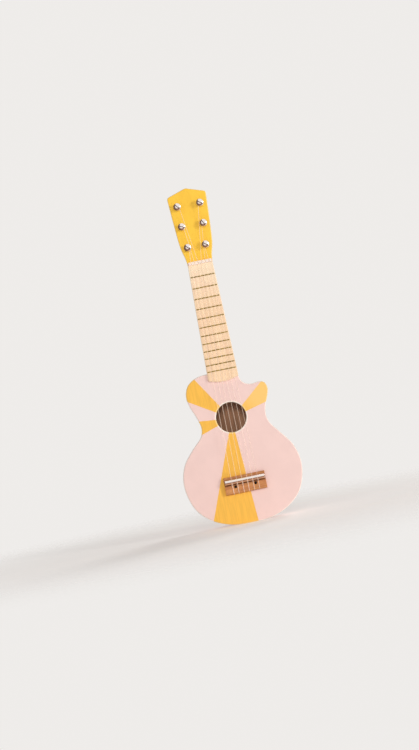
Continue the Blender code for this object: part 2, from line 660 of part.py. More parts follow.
def box_mesh(name, size, centre):
    bm = bmesh.new()
    bmesh.ops.create_cube(bm, size=1, matrix=Matrix.Translation(centre) @ Matrix.Diagonal((*size, 1)))
    return mesh_from(bm, name)


def tuner_knob_mesh():
    """The thumb knob behind the headstock: a hub with two wings, bored for the post's tang."""
    rim = HUB_RADIUS - KNOB_EASE
    hub = (
        (0, KNOB_NEAR), (rim, KNOB_NEAR), (HUB_RADIUS, KNOB_NEAR - KNOB_EASE),
        (HUB_RADIUS, KNOB_FAR + KNOB_EASE), (rim, KNOB_FAR), (0, KNOB_FAR),
    )
    knob = place("knob_blank", turned_mesh("knob_blank", hub), "steel")
    oval = []
    for i in range(WING_SIDES):
        angle = 2 * math.pi * i / WING_SIDES
        behind = WING_HALF_HEIGHT * math.sin(angle) - WING_MIDDLE
        oval.append(Vector((-WING_THICKNESS / 2, behind, WING_HALF_LENGTH * math.cos(angle))))
    wings = prism_mesh("wings", oval, Vector((WING_THICKNESS, 0, 0)))
    cut(knob, cutter("wings_tool", wings), operation="UNION")
    tang_bore, screw_bore = TANG_RADIUS + FINE_GAP, TUNER_SCREW_RADIUS + GLUE_GAP
    step, beyond = TANG_END - GLUE_GAP, 2 * KNOB_FAR
    bore = ((0, 0), (tang_bore, 0), (tang_bore, step), (screw_bore, step), (screw_bore, beyond), (0, beyond))
    cut(knob, cutter("knob_bore_cutter", turned_mesh("knob_bore", bore)))
    return baked("tuner_knob", knob)


def tuner_screw_mesh():
    seat = KNOB_FAR - GLUE_GAP
    head_radius, edge_height = TUNER_SCREW_HEAD
    profile = (
        (0, seat + TUNER_SCREW_LENGTH), (TUNER_SCREW_RADIUS, seat + TUNER_SCREW_LENGTH - TUNER_SCREW_RADIUS),
        (TUNER_SCREW_RADIUS, seat), (head_radius, seat), (head_radius, seat - edge_height),
        (0.65 * head_radius, seat - 2 * edge_height), (0, seat - 2.1 * edge_height),
    )
    return turned_mesh("tuner_screw", profile)


def tuner_bushing_mesh():
    """The sleeve that the post turns in, with a flange on the headstock's front."""
    bore = POST_RADIUS + TURNING_GAP
    ease = BUSHING_TOP / 2
    profile = (
        (bore, BUSHING_TOP), (BUSHING_RADIUS - ease, BUSHING_TOP), (BUSHING_RADIUS, BUSHING_TOP - ease),
        (BUSHING_RADIUS, GLUE_GAP), (SLEEVE_RADIUS, GLUE_GAP), (SLEEVE_RADIUS, SLEEVE_END), (bore, SLEEVE_END),
    )
    return turned_mesh("tuner_bushing", profile)


# Strings


def tangent_point(start, centre, radius, side):
    """Where a straight line from start first touches a circle, on the side that side = 1 or -1 says."""
    across, up = centre[0] - start[0], centre[1] - start[1]
    distance = math.hypot(across, up)
    heading = math.atan2(up, across) + side * math.asin(radius / distance)
    run = math.sqrt(distance**2 - radius**2)
    return start[0] + run * math.cos(heading), start[1] + run * math.sin(heading)


def tie_route(x, radius):
    """From the tied end on the bridge's deck, round its rear edge, through the tie hole and up over the rod."""
    clear = radius + FINE_GAP
    eased = clear * math.tan(math.pi / 8)
    points = [
        (TIE_END_Z, DECK_TOP + clear), (BRIDGE_BOTTOM_Z + BRIDGE_EASE - eased, DECK_TOP + clear),
        (BRIDGE_BOTTOM_Z - clear, DECK_TOP - BRIDGE_EASE + eased),
        (BRIDGE_BOTTOM_Z - clear, TIE_HOLE_FRONT + clear),
        (BRIDGE_BOTTOM_Z, TIE_HOLE_FRONT), (CHANNEL_LOW_Z, TIE_HOLE_FRONT),
    ]
    leaving = (CHANNEL_LOW_Z + clear, TIE_HOLE_FRONT + GLUE_GAP)
    over = ROD_RADIUS + clear
    touch = tangent_point(leaving, (ROD_Z, ROD_FRONT), over, 1)
    first = math.atan2(touch[1] - ROD_FRONT, touch[0] - ROD_Z)
    points.append(leaving)
    for angle in np.linspace(first, math.pi / 2, 5):
        points.append((ROD_Z + over * math.cos(angle), ROD_FRONT + over * math.sin(angle)))
    return [at(x, front, z) for z, front in points]


def string_route(number):
    """A string's points from its tied end, over the saddle rod and the nut, and round its post."""
    radius = STRING_RADII[number - 1]
    nut_x = nut_string_x(number)
    route = tie_route(bridge_string_x(number), radius)
    nut_front = NUT_SLOT_FLOOR + FINE_GAP + radius
    route.append(at(nut_x, nut_front, NUT_Z))
    route.append(at(nut_x, nut_front, NUT_Z + NUT_LENGTH))
    post = TUNER_PLACES[number - 1]
    side = math.copysign(1, post[0])
    # A little wider than the string's own circle, so that its straight steps stay clear of the post.
    wound = (WAIST_RADIUS + FINE_GAP + radius) / math.cos(math.pi / WINDING_STEPS)
    touch = tangent_point((nut_x, NUT_Z + NUT_LENGTH), post, wound, side)
    first_angle = math.atan2(touch[1] - post[1], touch[0] - post[0])
    front = WINDING_FRONTS[number - 1]
    pitch = 2 * radius + WINDING_GAP
    for i in range(WINDING_POINTS):
        turn = i / WINDING_STEPS
        angle = first_angle - side * 2 * math.pi * turn
        x, z = post[0] + wound * math.cos(angle), post[1] + wound * math.sin(angle)
        route.append(at(x, front - pitch * turn, z))
    return route


def build_strings():
    for number in range(1, 7):
        route = string_route(number)
        curve = bpy.data.curves.new(f"string_{number}", "CURVE")
        curve.dimensions = "3D"
        curve.bevel_depth = STRING_RADII[number - 1]
        curve.bevel_resolution = 2
        curve.use_fill_caps = True
        spline = curve.splines.new("POLY")
        spline.points.add(len(route) - 1)
        for point, place_at in zip(spline.points, route):
            point.co = (*place_at, 1)
        curve.materials.append(material_named("nylon"))
        bpy.context.scene.collection.objects.link(bpy.data.objects.new(f"string_{number}", curve))


def main():
    for obj in list(bpy.data.objects):
        bpy.data.objects.remove(obj)
    outline = body_outline()
    build_plates(outline)
    build_rim(outline)
    build_blocks(outline)
    build_braces()
    build_neck()
    build_neck_screws()
    build_fingerboard()
    build_nut()
    build_bridge()
    build_bridge_screws()
    build_tuners()
    build_strings()


main()
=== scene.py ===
import json
from math import asin, atan2, copysign, cos, hypot, pi, radians, sin, sqrt

import bmesh
import bpy
import numpy as np
from mathutils import Matrix, Vector
from mathutils.kdtree import KDTree

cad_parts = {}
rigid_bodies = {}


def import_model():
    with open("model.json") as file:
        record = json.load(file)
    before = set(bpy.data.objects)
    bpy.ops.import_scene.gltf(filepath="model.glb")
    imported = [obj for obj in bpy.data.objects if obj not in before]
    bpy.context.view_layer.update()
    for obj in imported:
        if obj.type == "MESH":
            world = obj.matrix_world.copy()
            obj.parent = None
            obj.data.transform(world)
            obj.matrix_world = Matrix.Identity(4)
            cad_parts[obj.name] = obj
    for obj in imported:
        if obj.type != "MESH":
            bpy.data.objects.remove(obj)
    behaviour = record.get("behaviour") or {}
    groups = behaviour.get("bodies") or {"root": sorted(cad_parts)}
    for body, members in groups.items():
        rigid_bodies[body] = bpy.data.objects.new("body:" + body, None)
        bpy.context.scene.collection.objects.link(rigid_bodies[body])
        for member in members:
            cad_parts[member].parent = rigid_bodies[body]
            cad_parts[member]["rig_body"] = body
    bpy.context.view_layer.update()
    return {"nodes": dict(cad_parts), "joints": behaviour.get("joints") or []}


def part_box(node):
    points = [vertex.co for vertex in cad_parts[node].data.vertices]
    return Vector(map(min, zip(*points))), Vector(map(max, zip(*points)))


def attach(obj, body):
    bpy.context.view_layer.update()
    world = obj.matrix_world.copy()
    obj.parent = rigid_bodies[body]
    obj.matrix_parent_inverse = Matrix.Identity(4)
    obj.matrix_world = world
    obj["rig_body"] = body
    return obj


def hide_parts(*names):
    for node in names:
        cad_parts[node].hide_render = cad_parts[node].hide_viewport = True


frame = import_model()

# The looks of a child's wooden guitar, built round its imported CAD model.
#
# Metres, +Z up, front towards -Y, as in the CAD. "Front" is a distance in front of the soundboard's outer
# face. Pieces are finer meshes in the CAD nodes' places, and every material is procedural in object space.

MM = 0.001

# Mesh making: the angle in degrees that makes an edge sharp, and distances that count as none
SHARP = 35
WELD = 1e-7
COARSE_WELD = 1e-6
FLAT = 1e-5

# Places read from the frame
FACE_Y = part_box("soundboard")[0].y
BOARD_TOP = FACE_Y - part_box("fingerboard")[0].y
BOARD_LOW_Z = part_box("fingerboard")[0].z
NUT_LOW, NUT_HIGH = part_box("nut")
ROD_LOW, ROD_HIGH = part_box("saddle_rod")
ROD_RADIUS = (ROD_HIGH.z - ROD_LOW.z) / 2
ROD_Z = (ROD_HIGH.z + ROD_LOW.z) / 2
ROD_FRONT = FACE_Y - (ROD_HIGH.y + ROD_LOW.y) / 2
BRIDGE_LOW, BRIDGE_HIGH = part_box("bridge")
BRIDGE_X = (BRIDGE_LOW.x + BRIDGE_HIGH.x) / 2
POSTS = [Vector(joint["pos_m"]) for joint in frame["joints"]]

# Body
PLATE = 3 * MM
BODY_DEPTH = 50 * MM
EDGE_ROUND = 2 * MM
EDGE_STEPS = 8
OUTLINE_STEPS = 4
CORNER_TURN = radians(40)
SEAM = 0.12 * MM
LIFT = 0.05 * MM
HOLE_Z = 169.3 * MM
HOLE_RADIUS = 24 * MM
HOLE_ROUND = 1.5 * MM
HOLE_RING = 26.2 * MM
RAY_CENTRE_Z = 167.5 * MM
# The painted rays as (start, end), in degrees clockwise from straight up.
RAYS = ((-58.4, -32.6), (-108.2, -84.3), (50.0, 75.5), (176.5, 201.2))

# Neck: (height, half-width) and (height, depth, squareness), in millimetres
NECK_WIDTHS = (
    (243.5, 24.3), (417.5, 20.0), (423.0, 20.4), (430.0, 21.5), (436.0, 23.0), (442.0, 24.6), (449.0, 26.0),
    (460.0, 27.2), (495.0, 29.6), (526.0, 31.3), (529.4, 30.9), (531.2, 28.6), (539.5, 3.4), (540.0, 1.0),
)
NECK_BACK = (
    (243.8, 42.0, 1.7), (250.0, 41.2, 1.7), (256.0, 38.6, 1.7), (262.0, 32.5, 1.8), (268.0, 25.5, 1.9),
    (276.0, 20.2, 2.0), (286.0, 17.3, 2.2), (300.0, 16.0, 2.3), (405.0, 14.2, 2.3), (424.0, 13.4, 3.5),
    (436.0, 13.0, 8.0), (540.0, 13.0, 8.0),
)
# (from, to, step) heights of extra cross-sections, in millimetres
NECK_SPACING = (
    (246, 300, 2.0), (300, 420, 8.0), (420, 466, 1.5), (466, 526, 6.0), (526, 532, 0.5), (532, 540, 0.8),
)
NECK_SIDES = 72
NECK_BACK_STEPS = 480
HEAD_THICKNESS = 13 * MM
HEAD_ROUND = 1.6 * MM
HEAD_PAINT_Z = 422.4 * MM
BOARD_WIDE = 243.5
BOARD_NARROW = 418.5
BOARD_CORNER_Z = 232 * MM
BOARD_ROUND = 1.2 * MM
FRET_SLOPE = 1.1 * MM
FRETS = 12

# Bridge
DECK_TOP = 6 * MM
CHANNEL_LOW_Z = 62.9 * MM
TIE_HOLE_FRONT = 3.6 * MM
TIE_HOLE_RADIUS = 0.8 * MM
BRIDGE_SCREW_X = 16.2 * MM
BRIDGE_SCREW_Z = 60.2 * MM
BRIDGE_SCREW_SEAT = 3.7 * MM
BRIDGE_SCREW_HEAD = 2.1 * MM
BRIDGE_BORE_RADIUS = 2.35 * MM

# Tuner post and bushing
CAP_TOP = 9.8 * MM
COLLAR_RADIUS = 3.6 * MM
POST_RADIUS = 2.5 * MM
POST_SHOULDER = -13.3 * MM
PIN_RADIUS = 2.0 * MM
PIN_END = -20.9 * MM
BUSHING_BORE = 2.62 * MM
BUSHING_RADIUS = 3.3 * MM
BUSHING_END = -6 * MM
HEAD_BORE_RADIUS = 3.4 * MM

# Strings, 1 (thinnest, right) to 6 (thickest, left)
STRING_RADII = tuple(r * MM for r in (0.30, 0.33, 0.36, 0.37, 0.39, 0.42))
NUT_SPACING = 5.8 * MM
BRIDGE_SPACING = 8.3 * MM
NUT_SLOT_FLOOR = 5.0 * MM
WINDING_FRONTS = tuple(f * MM for f in (4.7, 6.3, 5.8, 5.8, 6.3, 4.7))
WAIST_RADIUS = 2.3 * MM
STRING_HOLE_FRONT = 3.4 * MM
TUNER_TURNS = tuple(radians(a) for a in (38, 64, 35, 50, 18, 42))
CLEAR = 0.12 * MM
TIE_TURNS = 2.25
TIE_LOW_Z = 51.7 * MM
TIE_HIGH_Z = 62.2 * MM
TIE_LOOP_FRONT = 5.6 * MM
TUBE_SIDES = 12
# A string's rounded end: how far out and how wide, as shares of its radius
TUBE_END = ((0.25, 0.88), (0.6, 0.55))

# Knob behind the headstock
KNOB_NEAR = -13.8 * MM
KNOB_FAR = -24.5 * MM
HUB_RADIUS = 4.3 * MM
WING_MIDDLE = -19.3 * MM
WING_HALF_HEIGHT = 5 * MM
WING_HALF_LENGTH = 10 * MM
WING_THICKNESS = 3.4 * MM
KNOB_BORE_RADIUS = 2.1 * MM
KNOB_BORE_END = -21.3 * MM

# View: the guitar seen almost square on, with its headstock tipped to the left
TILT = radians(11.45)
VIEW_ELEVATION = radians(-1.5)
VIEW_DISTANCE = 2.807
VIEW_AIM = Vector((-0.0205, FACE_Y, 0.2416))
LENS = 85
SENSOR = 36
LIGHT_DISTANCE = 4.0
FLOOR_RADIUS = 2.5
FADE_NEAR = 0.16
FADE_FAR = 0.85

# Colours
PINK = (0.890, 0.655, 0.612)
# Paler paint on the rounded edges: partly worn paint and partly painted highlight.
PINK_EDGE = (1.0, 0.895, 0.810)
YELLOW = (0.960, 0.535, 0.078)
# Painted sheen on the yellow towards the upper right:
YELLOW_SHEEN = (1.0, 0.620, 0.185)
# Paler yellow on the rounded edges: partly worn paint and partly painted highlight.
YELLOW_EDGE = (1.0, 0.700, 0.270)
HEAD_YELLOW = (0.995, 0.600, 0.056)
RAW_WOOD = (0.600, 0.330, 0.195)
BOARD_WOOD = (0.975, 0.708, 0.468)
BOARD_PALE = (1.0, 0.860, 0.650)
BOARD_BLUSH = (0.93, 0.60, 0.44)
# Painted highlight on the fingerboard's rounded edges:
BOARD_EDGE_HIGHLIGHT = (1.0, 0.84, 0.66)
BRIDGE_WOOD = (0.680, 0.265, 0.095)
BRIDGE_PALE = (0.740, 0.350, 0.120)
NUT_COLOUR = (1.0, 0.835, 0.725)
CHROME = (0.900, 0.860, 0.830)
FRET_METAL = (0.390, 0.305, 0.080)
NYLON = (0.980, 0.800, 0.660)
ZINC = (0.560, 0.560, 0.570)
BLACK_STEEL = (0.035, 0.022, 0.018)
WORN_STEEL = (0.20, 0.13, 0.10)
# Painted shade at the bottom of the tuner caps' slots:
SLOT_SHADE = (0.16, 0.10, 0.08)
WOOD_DARK = 0.55
BACKDROP = (0.86, 0.84, 0.82)
FLOOR_COLOUR = (0.80, 0.785, 0.77)
FLOOR_GLOW = (0.24, 0.235, 0.230)
LIGHT_ABOVE = (0.29, 0.278, 0.27)
LIGHT_BELOW = (0.68, 0.66, 0.64)
ROOM_BRIGHT = (1.00, 0.94, 0.90)
ROOM_FLOOR = (0.95, 0.52, 0.34)
ROOM_FRONT = (0.34, 0.16, 0.09)
ROOM_DARK = (0.17, 0.100, 0.070)


def shade(colour, factor):
    return tuple(min(1.0, c * factor) for c in colour)


# Materials


class Nodes:
    """A node tree under construction. Each method adds nodes and gives the socket that they end in."""

    def __init__(self, tree, place):
        self.tree = tree
        self.place = tree.nodes.new("ShaderNodeTexCoord").outputs[place]

    def plug(self, socket, value):
        if isinstance(value, bpy.types.NodeSocket):
            self.tree.links.new(value, socket)
        elif hasattr(value, "__len__") and len(value) == 3 and len(socket.default_value) == 4:
            socket.default_value = (*value, 1)
        else:
            socket.default_value = value

    def node(self, kind, inputs, **settings):
        made = self.tree.nodes.new(kind)
        for key, value in settings.items():
            setattr(made, key, value)
        for key, value in inputs.items():
            self.plug(made.inputs[key], value)
        return made

    def math(self, operation, *values):
        return self.node("ShaderNodeMath", dict(enumerate(values)), operation=operation).outputs[0]

    def part(self, vector, axis):
        return self.node("ShaderNodeSeparateXYZ", {0: vector}).outputs[axis]

    def coordinate(self, axis):
        return self.part(self.place, axis)

    def hypot(self, a, b):
        squares = [self.math("MULTIPLY", value, value) for value in (a, b)]
        return self.math("SQRT", self.math("ADD", *squares))

    def waver(self, noise, amount):
        """Noise made to swing to both sides of zero."""
        return self.math("MULTIPLY", self.math("SUBTRACT", noise, 0.5), amount)

    def noise(self, scale, detail=3.0, roughness=0.55, distortion=0.0):
        """Noise from about 0.3 to 0.7, whose features are 1 / scale metres long. Scale may be per axis."""
        scale = scale if hasattr(scale, "__len__") else (scale,) * 3
        stretched = self.node("ShaderNodeVectorMath", {0: self.place, 1: scale}, operation="MULTIPLY")
        inputs = {
            "Vector": stretched.outputs[0], "Scale": 1.0, "Detail": detail, "Roughness": roughness,
            "Distortion": distortion,
        }
        return self.node("ShaderNodeTexNoise", inputs).outputs[0]

    def step(self, value, low, high, to_low=0.0, to_high=1.0):
        """A smooth step from to_low to to_high as the value goes from low to high."""
        inputs = {0: value, 1: low, 2: high, 3: to_low, 4: to_high}
        return self.node("ShaderNodeMapRange", inputs, interpolation_type="SMOOTHSTEP").outputs[0]

    def mix(self, factor, a, b, blend="MIX"):
        inputs = {0: factor, 6: a, 7: b}
        return self.node("ShaderNodeMix", inputs, data_type="RGBA", blend_type=blend).outputs[2]

    def between(self, factor, a, b):
        return self.node("ShaderNodeMix", {0: factor, 2: a, 3: b}, data_type="FLOAT").outputs[0]


class Look(Nodes):
    """A material under construction."""

    def __init__(self, name, **settings):
        self.material = bpy.data.materials.new(name)
        self.material.use_nodes = True
        super().__init__(self.material.node_tree, "Object")
        self.shader = self.tree.nodes["Principled BSDF"]
        for key, value in settings.items():
            self.shader.inputs[key.replace("_", " ")].default_value = value
        self.normal = self.tree.nodes.new("ShaderNodeTexCoord").outputs["Normal"]

    def grain(self, along, fineness=1.0):
        """Wood fibres, and slower growth bands, running along an axis."""
        fibre, band = [900 * fineness] * 3, [130 * fineness] * 3
        fibre[along] *= 0.03
        band[along] *= 0.05
        return self.noise(fibre, 4.0, 0.6), self.noise(band, 2.0, 0.5, 0.6)

    def side_facing(self):
        """0 where the surface looks straight forwards or back, and 1 on the sides."""
        return self.math("SUBTRACT", 1.0, self.math("ABSOLUTE", self.part(self.normal, 1)))

    def finish(self, colour, rough=None, bumps=()):
        """Links the surface, with (height socket, height in metres) bumps, and gives the material."""
        self.plug(self.shader.inputs["Base Color"], colour)
        if rough is not None:
            self.plug(self.shader.inputs["Roughness"], rough)
        normal = None
        for height, size in bumps:
            inputs = {"Height": height, "Distance": size, "Strength": 1.0}
            if normal is not None:
                inputs["Normal"] = normal
            normal = self.node("ShaderNodeBump", inputs).outputs[0]
        if normal is not None:
            self.tree.links.new(normal, self.shader.inputs["Normal"])
        return self.material


def wood_look(name, base, along, rough, contrast=0.5):
    """Bare or stained wood whose grain runs along an axis."""
    look = Look(name)
    fibre, band = look.grain(along)
    toned = look.mix(look.step(band, 0.35, 0.65), shade(base, 0.86), shade(base, 1.10))
    colour = look.mix(look.step(fibre, 0.46, 0.66, 0.0, contrast), toned, shade(base, WOOD_DARK))
    pores = look.step(look.noise([2600 if i != along else 110 for i in range(3)], 2.0), 0.62, 0.70, 0.0, 0.35)
    colour = look.mix(pores, colour, shade(base, WOOD_DARK * 0.8))
    roughness = look.step(fibre, 0.3, 0.7, rough - 0.08, rough + 0.08)
    return look.finish(colour, roughness, [(fibre, 0.08 * MM), (pores, 0.08 * MM)])


def hole_distance(look):
    return look.hypot(look.coordinate(0), look.math("SUBTRACT", look.coordinate(2), HOLE_Z))


def ray_mask(look):
    """1 inside a painted ray and 0 outside, with slightly uneven edges."""
    x = look.coordinate(0)
    z = look.math("SUBTRACT", look.coordinate(2), RAY_CENTRE_Z)
    angle = look.math("ARCTAN2", x, z)
    distance = look.hypot(x, z)
    waver = look.waver(look.noise(260), 0.9 * MM)
    mask = 0.0
    for start, end in RAYS:
        middle, half = radians((start + end) / 2), radians((end - start) / 2)
        turned = look.math("WRAP", look.math("SUBTRACT", angle, middle), pi, -pi)
        inside = look.math("SUBTRACT", half, look.math("ABSOLUTE", turned))
        across = look.math("ADD", look.math("MULTIPLY", inside, distance), waver)
        mask = look.math("MAXIMUM", look.step(across, -0.16 * MM, 0.16 * MM), mask)
    return mask


def body_paint(name, rays=False, rounded=True):
    """Satin pink paint with rays on the front; paler edges and sound-hole ring, partly worn paint and partly
    painted highlight.
    """
    look = Look(name)
    fibre, band = look.grain(2, 0.8)
    cloud = look.noise(38, 2.0)
    paint = look.mix(look.step(cloud, 0.35, 0.65), shade(PINK, 0.985), shade(PINK, 1.015))
    edge = PINK_EDGE
    bumps = [(look.noise(2600, 2.0), 0.006 * MM), (fibre, 0.03 * MM), (band, 0.05 * MM)]
    if rays:
        mask = ray_mask(look)
        streak = look.noise((420, 420, 26))
        yellow = look.mix(look.step(streak, 0.38, 0.66), shade(YELLOW, 0.94), shade(YELLOW, 1.04))
        # Painted sheen: the yellow turns paler towards the upper right.
        upper_right_sheen = look.step(look.math("ADD", look.coordinate(0), look.coordinate(2)), 0.185, 0.235)
        yellow = look.mix(upper_right_sheen, yellow, YELLOW_SHEEN)
        paint = look.mix(mask, paint, yellow)
        edge = look.mix(mask, PINK_EDGE, YELLOW_EDGE)
        bumps.append((mask, 0.03 * MM))
    if rounded:
        # Painted highlight and worn paint: the paint turns paler where the surface turns to the side, and in
        # a ring round the sound hole.
        edge_wear_and_highlight = look.math("ADD", look.side_facing(), look.waver(cloud, 0.12))
        worn = look.step(edge_wear_and_highlight, 0.01, 0.30)
        if rays:
            ring = look.step(hole_distance(look), HOLE_RING - 0.3 * MM, HOLE_RING, 1.0, 0.0)
            worn = look.math("MAXIMUM", worn, ring)
        paint = look.mix(worn, paint, edge)
    fleck = look.step(look.noise(1500, 2.0), 0.68, 0.76, 0.0, 0.14)
    paint = look.mix(fleck, paint, shade(PINK, 0.80), "MULTIPLY")
    return look.finish(paint, look.step(fibre, 0.3, 0.7, 0.40, 0.50), bumps)


def neck_look():
    """Yellow paint on the headstock, and bare lacquered wood below it."""
    look = Look("neck_paint")
    fibre, band = look.grain(2, 0.8)
    wood = look.mix(look.step(band, 0.35, 0.65), shade(BOARD_WOOD, 0.86), shade(BOARD_WOOD, 1.06))
    wood = look.mix(look.step(fibre, 0.46, 0.66, 0.0, 0.35), wood, shade(BOARD_WOOD, 0.66))
    cloud = look.noise((60, 60, 22), 2.0)
    yellow = look.mix(look.step(cloud, 0.35, 0.65), shade(HEAD_YELLOW, 0.965), shade(HEAD_YELLOW, 1.03))
    # Painted highlight and worn paint: the yellow turns paler on the eased corners.
    turned = look.side_facing()
    corner = look.math("MULTIPLY", look.step(turned, 0.02, 0.30), look.step(turned, 0.55, 0.95, 1.0, 0.25))
    yellow = look.mix(corner, yellow, YELLOW_EDGE)
    height = look.math("ADD", look.coordinate(2), look.waver(look.noise(300), 1.2 * MM))
    mask = look.step(height, HEAD_PAINT_Z - 0.15 * MM, HEAD_PAINT_Z + 0.15 * MM)
    bumps = [(look.noise(2400, 2.0), 0.006 * MM), (fibre, 0.035 * MM), (mask, 0.03 * MM)]
    return look.finish(look.mix(mask, wood, yellow), look.between(mask, 0.55, 0.42), bumps)


def fingerboard_look():
    """Pale close-grained wood, thinly lacquered, a little darker where fingers and frets gather dirt."""
    look = Look("fingerboard_wood")
    fibre, band = look.grain(2, 0.9)
    toned = look.mix(look.step(band, 0.36, 0.64), shade(BOARD_WOOD, 0.94), shade(BOARD_WOOD, 1.05))
    toned = look.mix(look.step(look.coordinate(2), 0.33, 0.42, 0.0, 0.6), toned, BOARD_PALE)
    colour = look.mix(look.step(fibre, 0.47, 0.66, 0.0, 0.30), toned, shade(BOARD_WOOD, 0.70))
    blush = look.step(look.noise((110, 110, 40), 2.0), 0.50, 0.68, 0.0, 0.22)
    colour = look.mix(blush, colour, BOARD_BLUSH)
    pores = look.step(look.noise((2400, 2400, 90), 2.0), 0.62, 0.70, 0.0, 0.35)
    colour = look.mix(pores, colour, shade(BOARD_WOOD, 0.45))
    # Painted highlight: the board turns paler where its rounded edges turn to the side.
    colour = look.mix(look.step(look.side_facing(), 0.02, 0.4, 0.0, 0.6), colour, BOARD_EDGE_HIGHLIGHT)
    roughness = look.step(fibre, 0.3, 0.7, 0.46, 0.58)
    return look.finish(colour, roughness, [(fibre, 0.05 * MM), (pores, 0.05 * MM)])


def bridge_look():
    """Reddish-brown stained wood, its grain across the guitar and wavy. Painted shade darkens its channel and
    the deck below it.
    """
    look = Look("bridge_wood")
    swirl = look.noise((60, 200, 200), 2.0, 0.5, 1.2)
    fibre, band = look.grain(0, 0.9)
    cloud = look.noise((45, 120, 120), 2.0)
    toned = look.mix(look.step(cloud, 0.36, 0.62), shade(BRIDGE_WOOD, 0.94), BRIDGE_PALE)
    toned = look.mix(look.step(band, 0.35, 0.65, 0.0, 0.6), toned, shade(BRIDGE_WOOD, 0.72))
    rings = look.math("FRACT", look.math("MULTIPLY", swirl, 9.0))
    toned = look.mix(look.step(rings, 0.1, 0.9, 0.0, 0.35), toned, shade(BRIDGE_WOOD, 0.55))
    colour = look.mix(look.step(fibre, 0.46, 0.66, 0.0, 0.50), toned, shade(BRIDGE_WOOD, 0.45))
    z = look.coordinate(2)
    # Painted shade: the channel under the rod and the deck just below it are coloured darker, and the ledge
    # above the rod is darker too.
    recess_shade = look.step(z, CHANNEL_LOW_Z - 0.1 * MM, CHANNEL_LOW_Z + 0.3 * MM, 0.0, 0.62)
    shade_below_channel = look.step(z, CHANNEL_LOW_Z - 4 * MM, CHANNEL_LOW_Z - MM, 0.0, 0.16)
    ledge = look.step(z, ROD_Z, ROD_HIGH.z, 1.0, 0.35)
    dark = look.math("MAXIMUM", look.math("MULTIPLY", recess_shade, ledge), shade_below_channel)
    colour = look.mix(dark, colour, shade(BRIDGE_WOOD, 0.30))
    roughness = look.step(fibre, 0.3, 0.7, 0.42, 0.55)
    return look.finish(colour, roughness, [(fibre, 0.07 * MM), (rings, 0.03 * MM)])


def metal_look(name, base, rough, marks=0.10, brushed=(3800, 900, 900)):
    """Metal with smudges, and fine scratches that brushed stretches along an axis."""
    look = Look(name, Metallic=1.0)
    smudge = look.noise(160)
    line = look.noise(brushed, 2.0)
    colour = look.mix(look.step(smudge, 0.40, 0.66, 0.0, 0.35), base, shade(base, 0.86))
    smudged = look.step(smudge, 0.35, 0.70, rough, rough + marks)
    roughness = look.math("ADD", smudged, look.step(line, 0.5, 0.7, 0.0, 0.05))
    return look.finish(colour, roughness, [(line, 0.004 * MM)])


def post_look():
    """Chrome, with painted shade colouring the bottom of the cap's slot dark."""
    look = Look("post_chrome", Metallic=1.0)
    across = look.step(look.math("ABSOLUTE", look.coordinate(2)), 0.50 * MM, 0.66 * MM, 1.0, 0.0)
    front = look.math("MULTIPLY", look.coordinate(1), -1.0)
    in_slot = look.math("MULTIPLY", across, look.step(front, 8.6 * MM, 8.8 * MM))
    # Painted shade: the bottom of the cap's slot is coloured dark.
    recess_shade = look.math("MULTIPLY", in_slot, look.step(front, 9.1 * MM, 9.75 * MM, 1.0, 0.0))
    smudge = look.noise(420)
    colour = look.mix(look.step(smudge, 0.42, 0.66, 0.0, 0.4), CHROME, shade(CHROME, 0.82))
    colour = look.mix(recess_shade, colour, SLOT_SHADE)
    rough = look.math("ADD", look.step(smudge, 0.38, 0.68, 0.07, 0.16), look.math("MULTIPLY", recess_shade, 0.35))
    return look.finish(colour, rough, [(look.noise((5000, 900, 5000), 2.0), 0.004 * MM)])


def fret_look():
    look = Look("fret_wire", Metallic=0.7)
    tarnish = look.noise((240, 600, 600))
    colour = look.mix(look.step(tarnish, 0.38, 0.64), shade(FRET_METAL, 1.25), shade(FRET_METAL, 0.62))
    rough = look.step(tarnish, 0.35, 0.70, 0.30, 0.50)
    return look.finish(colour, rough, [(look.noise((500, 4000, 4000), 2.0), 0.01 * MM)])


def nylon_look():
    """Clear nylon: what lies behind shows through it, and its shadow is light. A faint glow is painted light.
    """
    look = Look("nylon", IOR=1.53, Emission_Strength=0.20)
    # Painted light: a faint cream glow stands in for light scattered inside the nylon.
    look.shader.inputs["Emission Color"].default_value = (*NYLON, 1)
    milky = look.noise((900, 900, 60))
    look.plug(look.shader.inputs["Alpha"], look.step(milky, 0.35, 0.65, 0.27, 0.37))
    colour = look.mix(look.step(milky, 0.35, 0.65), NYLON, shade(NYLON, 0.90))
    roughness = look.step(milky, 0.35, 0.65, 0.26, 0.38)
    return look.finish(colour, roughness, [(look.noise(3000, 2.0), 0.004 * MM)])


def nut_look():
    look = Look("nut_plastic", Subsurface_Weight=0.08, Subsurface_Scale=0.002)
    mottle = look.noise(330)
    colour = look.mix(look.step(mottle, 0.35, 0.68), NUT_COLOUR, shade(NUT_COLOUR, 0.93))
    saw_marks = look.noise((120, 3200, 3200), 2.0)
    return look.finish(colour, look.step(mottle, 0.35, 0.65, 0.34, 0.46), [(saw_marks, 0.012 * MM)])


def black_screw_look():
    look = Look("black_screw", Metallic=0.7)
    worn = look.noise(1500)
    colour = look.mix(look.step(worn, 0.60, 0.74, 0.0, 0.6), BLACK_STEEL, WORN_STEEL)
    return look.finish(colour, look.step(worn, 0.35, 0.7, 0.34, 0.52), [(worn, 0.02 * MM)])


# Mesh tools


def at(x, front, z):
    return Vector((x, FACE_Y - front, z))


def mesh_from(bm, name, sharp=SHARP):
    bmesh.ops.remove_doubles(bm, verts=bm.verts, dist=WELD)
    bmesh.ops.recalc_face_normals(bm, faces=bm.faces)
    mesh = bpy.data.meshes.new(name)
    bm.to_mesh(mesh)
    bm.free()
    mesh.shade_smooth()
    mesh.set_sharp_from_angle(angle=radians(sharp))
    return mesh


